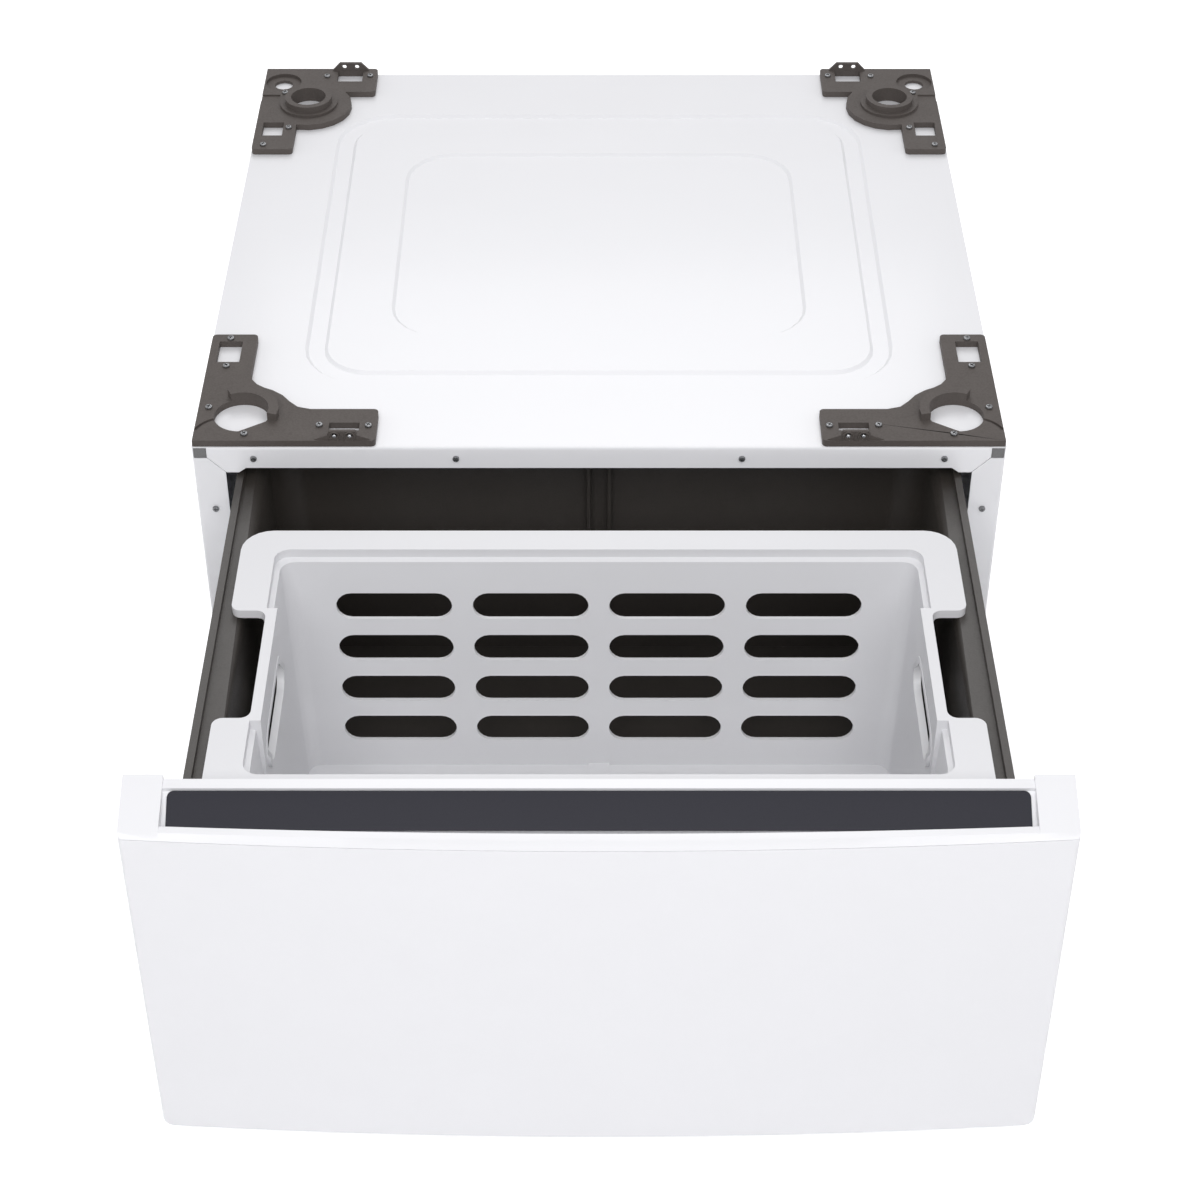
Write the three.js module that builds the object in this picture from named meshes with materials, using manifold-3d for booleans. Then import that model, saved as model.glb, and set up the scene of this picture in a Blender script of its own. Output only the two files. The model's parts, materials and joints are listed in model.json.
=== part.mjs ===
// Washer pedestal with a full-width storage drawer and a lift-out basket, drawn with the drawer open.
// Millimetres, +Z up, +X to the right as seen from the front, +Y to the back; the floor is z = 0.
// Inside the cabinet group y = 0 is the plane of the cabinet's front flanges; the drawer group has its
// own y = 0 on the rear plane of the drawer front.
import * as THREE from 'three';
import { mergeVertices } from 'three/addons/utils/BufferGeometryUtils.js';
import Module from 'manifold-3d';

const wasm = await Module();
wasm.setup();

// ---------------------------------------------------------------------------------------------------
// Driving dimensions
// ---------------------------------------------------------------------------------------------------

// Clearances and sheet
const SEAT = 0.3;                  // between pieces that rest on, or are fastened to, each other
const STEEL = 1.2;                 // thickness of every steel sheet
const BEND = 1.5;                  // inside radius of a folded edge of the outer panels

// Cabinet
const CABINET_WIDTH = 686;
const CABINET_DEPTH = 654;
const DECK_HEIGHT = 355;           // floor to the top face of the deck
const FLOOR_GAP = 26;              // floor to the lower edge of the cabinet
const SIDE_FLANGE = 27;            // front flange of a side panel
const TOP_FLANGE = 21.4;           // front flange of the deck
const TAB_DROP = 4.6;              // the deck's flange is this much deeper at its ends
const TAB_LENGTH = 17.3;           // length of that deeper end, measured from the side flange
const TAB_SLOPE = 6;
const MITRE_GAP = 0.6;             // open seam between the deck's flange and a side flange
const REAR_FLANGE = 15;            // rear flanges of the side panels
const REAR_LIP = 14;               // rear lip of the deck
const LOWER_FLANGE = 22;           // inward foot flange of a side panel
const UPPER_FLANGE = 14;           // inward ledge of a side panel, under the deck
const PLUG_WIDTH = 10.5;           // square plug in the corner where deck and side panel meet
const PLUG_HEIGHT = 9.5;
const PLUG_STEM = 9;

// Pressed fields of the deck: a channel all round and a sunk middle
const CHANNEL_WIDTH = 20;
const CHANNEL_DEPTH = 2.6;
const CHANNEL_SIDE_INSET = 83;     // edge of the cabinet to the channel's outer line
const CHANNEL_FRONT_INSET = 94;
const CHANNEL_REAR_INSET = 86;
const CHANNEL_RADIUS = 57;
const SUNK_SIDE_INSET = 155.5;
const SUNK_FRONT_INSET = 168;
const SUNK_REAR_INSET = 163;
const SUNK_DEPTH = 2.2;
const SUNK_RADIUS = 48;
const PRESS_SLOPE = 3;             // width of a pressed slope, seen from above
const BACK_FIELD_INSET = 60;       // pressed field of the back panel
const BACK_FIELD_DEPTH = 4;

// Cross members and feet
const RAIL_HEIGHT = 24;
const RAIL_WIDTH = 56;
const BRACE_HEIGHT = 18;
const BRACE_WIDTH = 30;
const BRACE_FLANGE = 12;
const FOOT_INSET_X = 45;           // foot centre from the cabinet's side
const FOOT_INSET_Y = 42;           // foot centre from the cabinet's front and back
const FOOT_RADIUS = 19;
const FOOT_PAD = 9;
const FOOT_COLLAR_RADIUS = 9;
const FOOT_COLLAR = 7;
const STUD_RADIUS = 5;
const STUD_ABOVE_RAIL = 24;        // thread left over the rail, more than the feet are ever let down
const NUT_RADIUS = 9.5;
const NUT_HEIGHT = 6;

// Corner brackets that hold the washer's feet; u runs in from the side, w in from the front or the rear
const BRACKET_INSET = 1;
const BRACKET_HEIGHT = 6;
const BRACKET_CORNER = 4;
const FRONT_ARM = 154;             // along the front edge
const FRONT_ARM_WIDTH = 46;
const FRONT_SIDE_ARM = 160;        // along the side edge
const SIDE_ARM_WIDTH = 40;
const FRONT_RING_U = 39;
const FRONT_RING_W = 38;
const FRONT_HOLE_RADIUS = 23.5;
const FRONT_CHORD = 19.5;          // the hole is cut off straight this far from its middle
const FRONT_CHORD_TURN = -57;      // degrees, towards the chord
const FRONT_RING_RADIUS = 32;
const FRONT_RING_HEIGHT = 7;
const FRONT_RING_START = -16;      // degrees
const FRONT_RING_END = 117;
const GROOVE_U = 26;               // arc-shaped groove across the outer corner
const GROOVE_W = 9;
const GROOVE_RADIUS = 25;
const GROOVE_WIDTH = 3;
const GROOVE_START = 111;
const GROOVE_END = 162;
const GROOVE_DEPTH = 2;
const REAR_ARM = 114;
const REAR_ARM_WIDTH = 49;
const REAR_SIDE_ARM = 165;
const REAR_RING_U = 50;
const REAR_RING_W = 75;
const REAR_HOLE_RADIUS = 17.5;
const REAR_RING_RADIUS = 23.5;
const REAR_RING_HEIGHT = 8.5;
const REAR_COLLAR_RADIUS = 29;
const REAR_COLLAR_HEIGHT = 2.5;
const REAR_BULGE_RADIUS = 43;
const SINK_U = 20.5;               // large countersunk hole in the rear corner
const SINK_W = 30;
const SINK_HOLE_RADIUS = 9.5;
const SINK_RADIUS = 18;
const SINK_DEPTH = 3;
const PAD_LENGTH = 19.5;           // shallow recess beside the countersunk hole
const PAD_W = [56, 69.6];
const PAD_DEPTH = 1.5;
const WINDOW_U = 8;                // rectangular window in each side arm
const WINDOW_WIDTH = 20.5;
const WINDOW_FROM_END = 11;
const FRONT_WINDOW_LENGTH = 32;
const REAR_WINDOW_LENGTH = 26;
const REAR_WINDOW_FROM_END = 27;
const CLIP_FROM_END = 27.6;        // centre of the clip from the end of the arm
const CLIP_HEIGHT = 8.5;
const FRONT_CLIP_EDGE = [[24.5, 0], [12.5, 4.5], [11, CLIP_HEIGHT]];   // right half, with its low wing
const REAR_CLIP_EDGE = [[19, 0], [11, CLIP_HEIGHT]];
const CLIP_SHEET = 3;
const CLIP_HOLE_RADIUS = 2.6;
const CLIP_HOLE_PITCH = 12.9;
const SLOT_LENGTH = 25.9;          // slot behind each clip
const FRONT_CLIP_W = 7;
const FRONT_SLOT_W = [20.5, 31.5];
const REAR_CLIP_W = 2.5;
const REAR_SLOT_W = [6, 28];
const SCREW_RADIUS = 1.8;
const SCREW_HEAD_RADIUS = 3.8;
const SCREW_HEAD = 1.8;
const SCREW_GAP = 0.3;             // round every screw's shank

// Screws in the front flanges
const FLANGE_SCREW_HEAD = 1.4;
const FLANGE_SCREW_DEPTH = 8;
const FLANGE_SCREW_INSETS = [51.5, 222.4];   // in from the cabinet's side
const FLANGE_SCREW_DROP = 11.3;    // below the deck
const SIDE_SCREW_INSET = 15;
const SIDE_SCREW_DROPS = [64.3, 180, 290];

// Ball-bearing slides, three members on each side
const DRAWER_TRAVEL = 403;
const SLIDE_LENGTH = 406;
const SLIDE_INSET = 12;            // cabinet front to the front end of the fixed member
const SLIDE_SHEET = 1.2;
const SLIDE_HALF_HEIGHT = 22.7;
const RACE_WIDTH = 8;              // reach of the middle member's flanges
const RACE_LIP = 2.4;              // turned edge that keeps the balls in
const MEMBER_GAP = 1.3;            // middle member to the web of the drawer member
const BALL_RADIUS = 2;
const BALL_GAP = 0.2;
const RUN_GAP = 0.3;
const CAGE_SHEET = 0.4;
const CAGE_LENGTH = 196;
const CAGE_END_GAP = 2;
const BALLS_PER_ROW = 4;
const BRACKET_SECTION = 60;        // height of the channel that carries a fixed member
const BRACKET_TAB = 16;
const BRACKET_LENGTH = 420;

// Drawer tub
const DRAWER_SIDE_GAP = 9;         // side flange to the tub's rim
const DECK_TO_TUB = 29;            // deck to the tub's rim
const TUB_WALL = 3;
const TUB_LIP = 6;                 // width of the raised outer lip
const TUB_LEDGE = 17.5;            // width of the ledge the basket hangs on
const TUB_LEDGE_DROP = 6;
const TUB_SKIRT = 21;              // rim down to the edge of the skirt
const TUB_FRONT_RIM = 15.5;
const TUB_LENGTH = 440;            // inside, at the ledge
const TUB_DRAFT = 8;               // each wall leans in by this much at the floor
const TUB_CORNER = 14;
const TUB_REAR_CORNER = 28;
const TUB_RIM_CORNER = 24;
const TUB_RIM_FRONT_CORNER = 2;
const TUB_TO_RAIL = 45;            // base rail to the underside of the tub
const TUB_RIB_PITCH = 18;
const TUB_RIB = 3;
const TUB_RIB_DROP = 14;
const TUB_SKIRT_TO_BRACKET = 25;   // skirt to the slide's bracket below it
const BOSS_RADIUS = 6;
const BOSS_X = 200;
const BOSS_INSET_Z = 40;

// Drawer front
const CLOSED_GAP = 2.5;            // drawer front to the flanges when shut
const FRONT_DEPTH = 46.5;          // rear plane to the face, at the sides
const FRONT_BOW = 12;              // the face stands this much further out in the middle
const FRONT_BOTTOM = 25.6;
const FRONT_SEAM = 14;             // deck down to the seam under the cap
const SEAM_GAP = 0.6;
const FRONT_CORNER = 9;
const FRONT_EDGE = 4;
const SKIN = 1;
const INNER_FOLD = 14;             // foot fold of the inner sheet
const CAP_WALL = 2.5;
const CHEEK_WIDTH = 29.3;
const CHEEK_RISE = 5.5;            // top of a cheek above the deck
const CHEEK_RUN = 42;
const CHEEK_NOSE = 3.5;            // foot of the cheek's slope above the seam
const LEDGE_RISE = 1;              // ledge behind the strip, above the deck
const LEDGE_DEPTH = 9.7;
const STRIP_RUN = 25.8;            // the strip, seen from above
const STRIP_FALL = 17;
const STRIP_SHEET = 2.2;
const STRIP_END_GAP = 3.7;
const STRIP_CORNER = 5;
const STRIP_OVERHANG = 3;
const GRIP_DEPTH = 27;             // finger groove below the seam
const GRIP_BOW = 9;                // width of the groove in the middle, less its width at the ends
const CAP_SKIRT = 24;              // depth of the cap's rear wall
const BUMPER_RADIUS = 6;
const BUMPER_INSET_Z = 24;

// Basket
const BASKET_SIDE_GAP = 8.7;       // to the tub's raised lip
const BASKET_FRONT_GAP = 3.2;
const BASKET_LENGTH = 329;
const BASKET_WALL = 3;
const BASKET_SIDE_RIM = 28.3;
const BASKET_END_RIM = 31;
const RIM_HEIGHT = 7.7;
const BASKET_RIM_CORNER = 25;
const BASKET_CORNER = 12;
const BASKET_STEP = 4;             // the walls step in under the rim
const BASKET_STEP_DROP = 10;
const BASKET_STEP_RISE = 2;
const BASKET_SIDE_DRAFT = 10;
const BASKET_END_DRAFT = 16;
const BASKET_FLOOR_GAP = 4;
const NOTCH_LENGTH = 127;
const NOTCH_SHIFT = -8;            // from the middle of the basket
const NOTCH_STEP = 8.5;            // the wall steps in by this much
const NOTCH_DEPTH = 110;
const NOTCH_CORNER = 8;
const HAND_SLOT_LENGTH = 100;
const HAND_SLOT_HEIGHT = 26;
const HAND_SLOT_DROP = 50;         // rim to the middle of the slot
const HAND_LIP_WIDTH = 6;
const HAND_LIP_REACH = 3;
const VENT_LENGTH = 96;
const VENT_HEIGHT = 26;
const VENT_COLUMNS = 4;
const VENT_ROWS = 4;
const VENT_PITCH_X = 113;
const VENT_PITCH_Z = 42.4;
const VENT_TOP_DROP = 54;
const FLOOR_RIB_WIDTH = 18;
const FLOOR_RIB_HEIGHT = 2;

// ---------------------------------------------------------------------------------------------------
// Places that follow from them
// ---------------------------------------------------------------------------------------------------
const SIDE = CABINET_WIDTH / 2;
const SIDE_INNER = SIDE - STEEL;                     // inner face of a side panel
const FLANGE_SCREW_X = FLANGE_SCREW_INSETS.map((inset) => SIDE - inset);
const DECK_UNDER = DECK_HEIGHT - STEEL;
const SIDE_TOP = DECK_UNDER - SEAT;
const OPENING_SIDE = SIDE - SIDE_FLANGE;             // free edge of a side flange
const RAIL_BOTTOM = FLOOR_GAP + STEEL + SEAT;
const RAIL_TOP = RAIL_BOTTOM + RAIL_HEIGHT;
const BRACKET_BOTTOM = DECK_HEIGHT + SEAT;
const BRACKET_TOP = BRACKET_BOTTOM + BRACKET_HEIGHT;
const PLUG_INNER = SIDE_INNER - SEAT - PLUG_WIDTH;
const PLUG_BOTTOM = DECK_UNDER - SEAT - PLUG_HEIGHT;
const FLANGE_BOTTOM = DECK_HEIGHT - TOP_FLANGE;
const TAB_BOTTOM = FLANGE_BOTTOM - TAB_DROP;

const TUB_SIDE = OPENING_SIDE - DRAWER_SIDE_GAP;     // outside of the tub's rim
const LIP_SIDE = TUB_SIDE - TUB_LIP;
const WALL_SIDE = LIP_SIDE - TUB_LEDGE;              // inside of the tub's wall at the ledge
const TUB_TOP = DECK_HEIGHT - DECK_TO_TUB;
const LEDGE_Z = TUB_TOP - TUB_LEDGE_DROP;
const TUB_BOTTOM = RAIL_TOP + TUB_TO_RAIL;
const TUB_REAR_WALL = TUB_FRONT_RIM + TUB_LENGTH;
const TUB_REAR = TUB_REAR_WALL + TUB_LEDGE + TUB_LIP;

const TUB_RAIL_X = WALL_SIDE + TUB_WALL + SEAT;      // inner face of the steel rail beside the tub
const CAGE_WEB = SLIDE_SHEET + RUN_GAP;              // depths inside a slide, from its fixed back
const MID_WEB = CAGE_WEB + CAGE_SHEET + RUN_GAP;
const MID_REACH = MID_WEB + RACE_WIDTH;
const INNER_CAGE_WEB = MID_WEB + SLIDE_SHEET + RUN_GAP;
const INNER_TIP = INNER_CAGE_WEB + CAGE_SHEET + RUN_GAP;
const SLIDE_DEPTH = MID_REACH + MEMBER_GAP + SLIDE_SHEET;
const SLIDE_BACK = TUB_RAIL_X + STEEL + SEAT + SLIDE_DEPTH;
const BALL_ROOM = 2 * (BALL_RADIUS + BALL_GAP);
const MID_HALF = SLIDE_HALF_HEIGHT - SLIDE_SHEET - BALL_ROOM;
const INNER_HALF = MID_HALF - SLIDE_SHEET - BALL_ROOM;
const SLIDE_Z = TUB_TOP - TUB_SKIRT - TUB_SKIRT_TO_BRACKET - BRACKET_SECTION / 2;

const SEAM_Z = DECK_HEIGHT - FRONT_SEAM;
const CHEEK_TOP = DECK_HEIGHT + CHEEK_RISE;
const CHEEK_INNER = SIDE - CHEEK_WIDTH;
const NOSE_Z = SEAM_Z + CHEEK_NOSE;
const LEDGE_TOP = DECK_HEIGHT + LEDGE_RISE;
const STRIP_TOP_Y = -LEDGE_DEPTH;
const STRIP_END_Y = STRIP_TOP_Y - STRIP_RUN;
const GRIP_BACK_Y = STRIP_END_Y + STRIP_OVERHANG;
const GRIP_FLOOR = SEAM_Z - GRIP_DEPTH;
const CAP_SKIRT_BOTTOM = LEDGE_TOP - CAP_SKIRT;

const BASKET_SIDE = LIP_SIDE - BASKET_SIDE_GAP;
const MOUTH_SIDE = BASKET_SIDE - BASKET_SIDE_RIM;
const BASKET_FRONT = SEAT + BASKET_FRONT_GAP;
const BASKET_REAR = BASKET_FRONT + BASKET_LENGTH;
const RIM_BOTTOM = LEDGE_Z + SEAT;
const RIM_TOP = RIM_BOTTOM + RIM_HEIGHT;
const BASKET_BOTTOM = TUB_BOTTOM + TUB_WALL + BASKET_FLOOR_GAP;

// ---------------------------------------------------------------------------------------------------
// Finishes
// ---------------------------------------------------------------------------------------------------
const finish = (color, roughness, metalness) => new THREE.MeshStandardMaterial({ color, roughness, metalness });
const WHITE_PAINT = [0xf2f2f6, 0.35, 0.1];
const WHITE_PLASTIC = [0xeaeaee, 0.45, 0];
const DARK_PLASTIC = [0x4a443d, 0.6, 0];
const BRACKET_PLASTIC = [0x5a5650, 0.65, 0];
const PLUG_PLASTIC = [0x767676, 0.6, 0];
const GLOSS_PLASTIC = [0x2b2b31, 0.15, 0];
const ZINC = [0xb8babd, 0.35, 0.9];
const BALL_STEEL = [0xd8d8d8, 0.15, 1];
const RUBBER = [0x2a2a2a, 0.85, 0];

// ---------------------------------------------------------------------------------------------------
// Solids from outlines
// ---------------------------------------------------------------------------------------------------
const CURVE_STEPS = 6;             // parts of a quarter turn, or of a curve
const BOW_STEPS = 20;
const HOLE_SIDES = 24;
const SINK_SIDES = 12;
const STUD_SIDES = 16;
const SCREW_SIDES = 6;
const CLIP_HOLE_SIDES = 6;
const BALL_SIDES = 6;
const BALL_RINGS = 4;
const VENT_STEPS = 5;
const RIM_STEPS = 6;
const BRACKET_STEPS = 4;
const NEAR = 0.01;                 // two measures closer than this are the same

// Where an outline's own axes (a, b) and its sweep c go for a sweep along each axis.
const SWEEP = {
  x: new THREE.Matrix4().set(0, 0, 1, 0, 1, 0, 0, 0, 0, 1, 0, 0, 0, 0, 0, 1),
  y: new THREE.Matrix4().set(1, 0, 0, 0, 0, 0, -1, 0, 0, 1, 0, 0, 0, 0, 0, 1),
  z: new THREE.Matrix4(),
};

function toSolid(geometry) {
  const bare = geometry.clone();
  bare.deleteAttribute('normal');
  bare.deleteAttribute('uv');
  const merged = mergeVertices(bare);
  const corners = [...merged.index.array];
  const whole = corners.filter((_, i) => {
    const [a, b, c] = corners.slice(i - (i % 3), i - (i % 3) + 3);
    return a !== b && b !== c && c !== a;       // a turned profile has folded faces on its axis
  });
  return new wasm.Manifold(new wasm.Mesh({
    numProp: 3,
    vertProperties: new Float32Array(merged.attributes.position.array),
    triVerts: new Uint32Array(whole),
  }));
}

function toGeometry(solid) {
  const { numProp, vertProperties, triVerts } = solid.getMesh();
  const positions = new Float32Array((vertProperties.length / numProp) * 3);
  for (let i = 0; i < positions.length / 3; i += 1) {
    positions.set(vertProperties.subarray(i * numProp, i * numProp + 3), i * 3);
  }
  const geometry = new THREE.BufferGeometry();
  geometry.setAttribute('position', new THREE.BufferAttribute(positions, 3));
  geometry.setIndex([...triVerts]);
  const flat = geometry.toNonIndexed();
  flat.computeVertexNormals();
  return flat;
}

const join = (first, ...others) => others.reduce((sum, next) => sum.add(next), first);
const cut = (first, ...others) => others.reduce((rest, next) => rest.subtract(next), first);

// The same solid seen in a mirror on the plane x = 0.
function mirrored(solid) {
  const geometry = toGeometry(solid);
  geometry.scale(-1, 1, 1);
  const position = geometry.attributes.position;
  const a = new THREE.Vector3();
  const b = new THREE.Vector3();
  for (let i = 0; i < position.count; i += 3) {
    a.fromBufferAttribute(position, i + 1);
    b.fromBufferAttribute(position, i + 2);
    position.setXYZ(i + 1, b.x, b.y, b.z);
    position.setXYZ(i + 2, a.x, a.y, a.z);
  }
  return toSolid(geometry);
}

function placed(solid, x, y, z) {
  return toSolid(toGeometry(solid).translate(x, y, z));
}

function sweepGeometry(axis, shape, from, to, steps = 1, curveSegments = CURVE_STEPS) {
  const geometry = new THREE.ExtrudeGeometry(shape, {
    depth: to - from, steps, curveSegments, bevelEnabled: false,
  });
  geometry.applyMatrix4(SWEEP[axis]);
  return geometry.translate(axis === 'x' ? from : 0, axis === 'y' ? to : 0, axis === 'z' ? from : 0);
}

const sweep = (...args) => toSolid(sweepGeometry(...args));

function block(x0, x1, y0, y1, z0, z1) {
  const geometry = new THREE.BoxGeometry(x1 - x0, y1 - y0, z1 - z0);
  return toSolid(geometry.translate((x0 + x1) / 2, (y0 + y1) / 2, (z0 + z1) / 2));
}

const polygon = (points) => new THREE.Shape(points.map(([a, b]) => new THREE.Vector2(a, b)));

function circle(a, b, radius, sides) {
  const points = [];
  for (let i = 0; i < sides; i += 1) {
    const angle = (2 * Math.PI * i) / sides;
    points.push([a + radius * Math.cos(angle), b + radius * Math.sin(angle)]);
  }
  return polygon(points);
}

const disc = (axis, a, b, radius, from, to, sides) => sweep(axis, circle(a, b, radius, sides), from, to);

// A slot with round ends, its length along a.
function stadium(a, b, length, height) {
  const radius = height / 2;
  const reach = length / 2 - radius;
  const shape = new THREE.Shape();
  shape.absarc(a + reach, b, radius, -Math.PI / 2, Math.PI / 2);
  shape.absarc(a - reach, b, radius, Math.PI / 2, Math.PI * 1.5);
  return shape;
}

const QUARTER_TURN = Math.PI / 2;

// Corner points of a rounded rectangle, one radius for the low-y corners and one for the high-y corners.
function roundedLoop(x0, x1, y0, y1, frontRadius, rearRadius = frontRadius, steps = CURVE_STEPS) {
  const corners = [
    [x1 - frontRadius, y0 + frontRadius, frontRadius],
    [x1 - rearRadius, y1 - rearRadius, rearRadius],
    [x0 + rearRadius, y1 - rearRadius, rearRadius],
    [x0 + frontRadius, y0 + frontRadius, frontRadius],
  ];
  return corners.flatMap(([cx, cy, radius], turn) => Array.from({ length: steps + 1 }, (_, i) => {
    const angle = (turn - 1 + i / steps) * QUARTER_TURN;
    return [cx + radius * Math.cos(angle), cy + radius * Math.sin(angle)];
  }));
}

// A closed loop of [a, b, radius] corners, each rounded by its own radius.
function rounded(corners, steps = 3) {
  return corners.flatMap(([a, b, radius], i) => {
    if (radius === 0) return [[a, b]];
    const corner = new THREE.Vector2(a, b);
    const [before, after] = [corners.at(i - 1), corners[(i + 1) % corners.length]];
    const into = corner.clone().sub(new THREE.Vector2(before[0], before[1])).normalize();
    const out = new THREE.Vector2(after[0], after[1]).sub(corner).normalize();
    const turn = Math.atan2(into.cross(out), into.dot(out));
    const start = corner.clone().addScaledVector(into, -radius * Math.abs(Math.tan(turn / 2)));
    const side = new THREE.Vector2(-into.y, into.x).multiplyScalar(Math.sign(turn));
    const centre = start.clone().addScaledVector(side, radius);
    return Array.from({ length: steps + 1 }, (_, k) => (
      start.clone().rotateAround(centre, (turn * k) / steps).toArray()
    ));
  });
}

// A body that passes through loops of equal length, given as { loop, z } from the lowest to the highest.
function loft(levels) {
  const count = levels[0].loop.length;
  const positions = levels.flatMap(({ loop, z }) => loop.flatMap(([x, y]) => [x, y, z]));
  const index = [];
  for (let level = 0; level < levels.length - 1; level += 1) {
    for (let i = 0; i < count; i += 1) {
      const low = level * count + i;
      const next = level * count + ((i + 1) % count);
      index.push(low, next, next + count, low, next + count, low + count);
    }
  }
  const flat = levels[0].loop.map(([x, y]) => new THREE.Vector2(x, y));
  const top = (levels.length - 1) * count;
  for (const [a, b, c] of THREE.ShapeUtils.triangulateShape(flat, [])) {
    index.push(c, b, a, a + top, b + top, c + top);
  }
  const geometry = new THREE.BufferGeometry();
  geometry.setAttribute('position', new THREE.Float32BufferAttribute(positions, 3));
  geometry.setIndex(index);
  return toSolid(geometry);
}

// Outline of a sheet folded along a path; the sheet lies to the left of the path.
function folded(path, thickness, radius = 0, steps = 2) {
  const points = path.map(([a, b]) => new THREE.Vector2(a, b));
  const normals = points.slice(1).map((point, i) => {
    const along = point.clone().sub(points[i]).normalize();
    return new THREE.Vector2(-along.y, along.x);
  });
  const near = [points[0]];
  const far = [points[0].clone().addScaledVector(normals[0], thickness)];
  for (let i = 1; i < points.length - 1; i += 1) {
    const [n0, n1] = [normals[i - 1], normals[i]];
    const left = n0.x * n1.y - n0.y * n1.x > 0;
    const nearRadius = left ? radius + thickness : -radius;
    const centre = points[i].clone().addScaledVector(n0.clone().add(n1), nearRadius / (1 + n0.dot(n1)));
    for (let k = 0; k <= (radius > 0 ? steps : 0); k += 1) {
      const share = radius > 0 ? k / steps : 0.5;
      const normal = n0.clone().lerp(n1, share).normalize();
      if (radius > 0) {
        near.push(centre.clone().addScaledVector(normal, -nearRadius));
        far.push(centre.clone().addScaledVector(normal, thickness - nearRadius));
      } else {
        near.push(points[i]);
        far.push(points[i].clone().addScaledVector(n0.clone().add(n1), thickness / (1 + n0.dot(n1))));
      }
    }
  }
  near.push(points.at(-1));
  far.push(points.at(-1).clone().addScaledVector(normals.at(-1), thickness));
  return new THREE.Shape([...near, ...far.reverse()]);
}

// A pressed sheet: the form's top skin, one thickness deep.
const skinOf = (form, thickness) => cut(form, placed(form, 0, 0, -thickness));

// A dish with sloping sides, to cut out of a form whose top is at z.
function dish(x0, x1, y0, y1, radius, depth, z) {
  const inset = (by) => roundedLoop(x0 + by, x1 - by, y0 + by, y1 - by, radius - by);
  return loft([
    { loop: inset(PRESS_SLOPE), z: z - depth }, { loop: inset(0), z }, { loop: inset(0), z: z + depth },
  ]);
}

// A turned body; its profile of [radius, height] runs from the axis at the bottom to the axis at the top.
const POINTING = { up: Math.PI / 2, front: Math.PI, back: 0 };

function turned(profile, sides, axis = 'up') {
  const points = profile.map(([radius, height]) => new THREE.Vector2(radius, height));
  return toSolid(new THREE.LatheGeometry(points, sides).rotateX(POINTING[axis]));
}

// A screw whose head faces up, to the front or to the back, with the head's seat at [x, y, z].
function screw([x, y, z], facing, length, head) {
  const profile = [
    [0, -length], [SCREW_RADIUS, -length], [SCREW_RADIUS, 0], [SCREW_HEAD_RADIUS, 0],
    [SCREW_HEAD_RADIUS * 0.8, head], [0, head],
  ];
  return placed(turned(profile, SCREW_SIDES, facing), x, y, z);
}

const screwHole = (axis, a, b, from, to) => (
  disc(axis, a, b, SCREW_RADIUS + SCREW_GAP, from, to, SCREW_SIDES)
);

// ---------------------------------------------------------------------------------------------------
// The object as a tree of groups
// ---------------------------------------------------------------------------------------------------
const pedestal = new THREE.Group();

function subassembly(y = 0) {
  const group = new THREE.Group();
  group.position.y = y;
  pedestal.add(group);
  return group;
}

const cabinet = subassembly();
const drawer = subassembly(-DRAWER_TRAVEL - CLOSED_GAP);

function piece(group, name, solid, material) {
  const mesh = new THREE.Mesh(toGeometry(solid), finish(...material));
  mesh.name = name;
  group.add(mesh);
}

// A piece and its mirror image; the solid given is the right-hand one.
function pair(group, name, solid, material) {
  piece(group, `right_${name}`, solid, material);
  piece(group, `left_${name}`, mirrored(solid), material);
}

// ---------------------------------------------------------------------------------------------------
// Corner brackets, drawn from the corner of the deck: u runs in from the side, w in from the edge
// ---------------------------------------------------------------------------------------------------
// Screw holes of each bracket; the first of each list holds the screw that is drawn.
const FRONT_SCREWS = [[44, 10], [17.5, 154], [18, 111], [10, 48.7], [106.4, 22.7], [148, 22]];
const REAR_SCREWS = [[64, 18], [12, 158], [34, 124], [24, 53], [108, 17]];

const ringSector = (u, w, inner, outer, start, end) => {
  const [from, to] = [start, end].map(THREE.MathUtils.degToRad);
  const shape = new THREE.Shape();
  shape.absarc(u, w, outer, from, to);
  shape.absarc(u, w, inner, to, from, true);
  return shape;
};

// Points that draw the front bracket's inner edge round its ring, measured from the ring's middle.
const SWING = { start: 58, bend: 39, low: [38, 30], middle: [23, 37], high: [12, 42], rise: 48, end: 62 };

function frontBracketOutline() {
  const [near, corner] = [BRACKET_INSET, BRACKET_CORNER];
  const [end, top] = [near + FRONT_ARM, near + FRONT_SIDE_ARM];
  const [inner, side] = [near + FRONT_ARM_WIDTH, near + SIDE_ARM_WIDTH];
  const [u, w] = [FRONT_RING_U, FRONT_RING_W];
  const shape = new THREE.Shape();
  shape.moveTo(near, near);
  shape.lineTo(end - corner, near);
  shape.absarc(end - corner, near + corner, corner, -Math.PI / 2, 0);
  shape.absarc(end - corner, inner - corner, corner, 0, Math.PI / 2);
  const { low, middle, high } = SWING;
  shape.lineTo(u + SWING.start, inner);
  shape.bezierCurveTo(u + SWING.bend, inner, u + low[0], w + low[1], u + middle[0], w + middle[1]);
  shape.bezierCurveTo(u + high[0], w + high[1], side, w + SWING.rise, side, w + SWING.end);
  shape.absarc(side - corner, top - corner, corner, 0, Math.PI / 2);
  shape.absarc(near + corner, top - corner, corner, Math.PI / 2, Math.PI);
  return shape;
}

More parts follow.
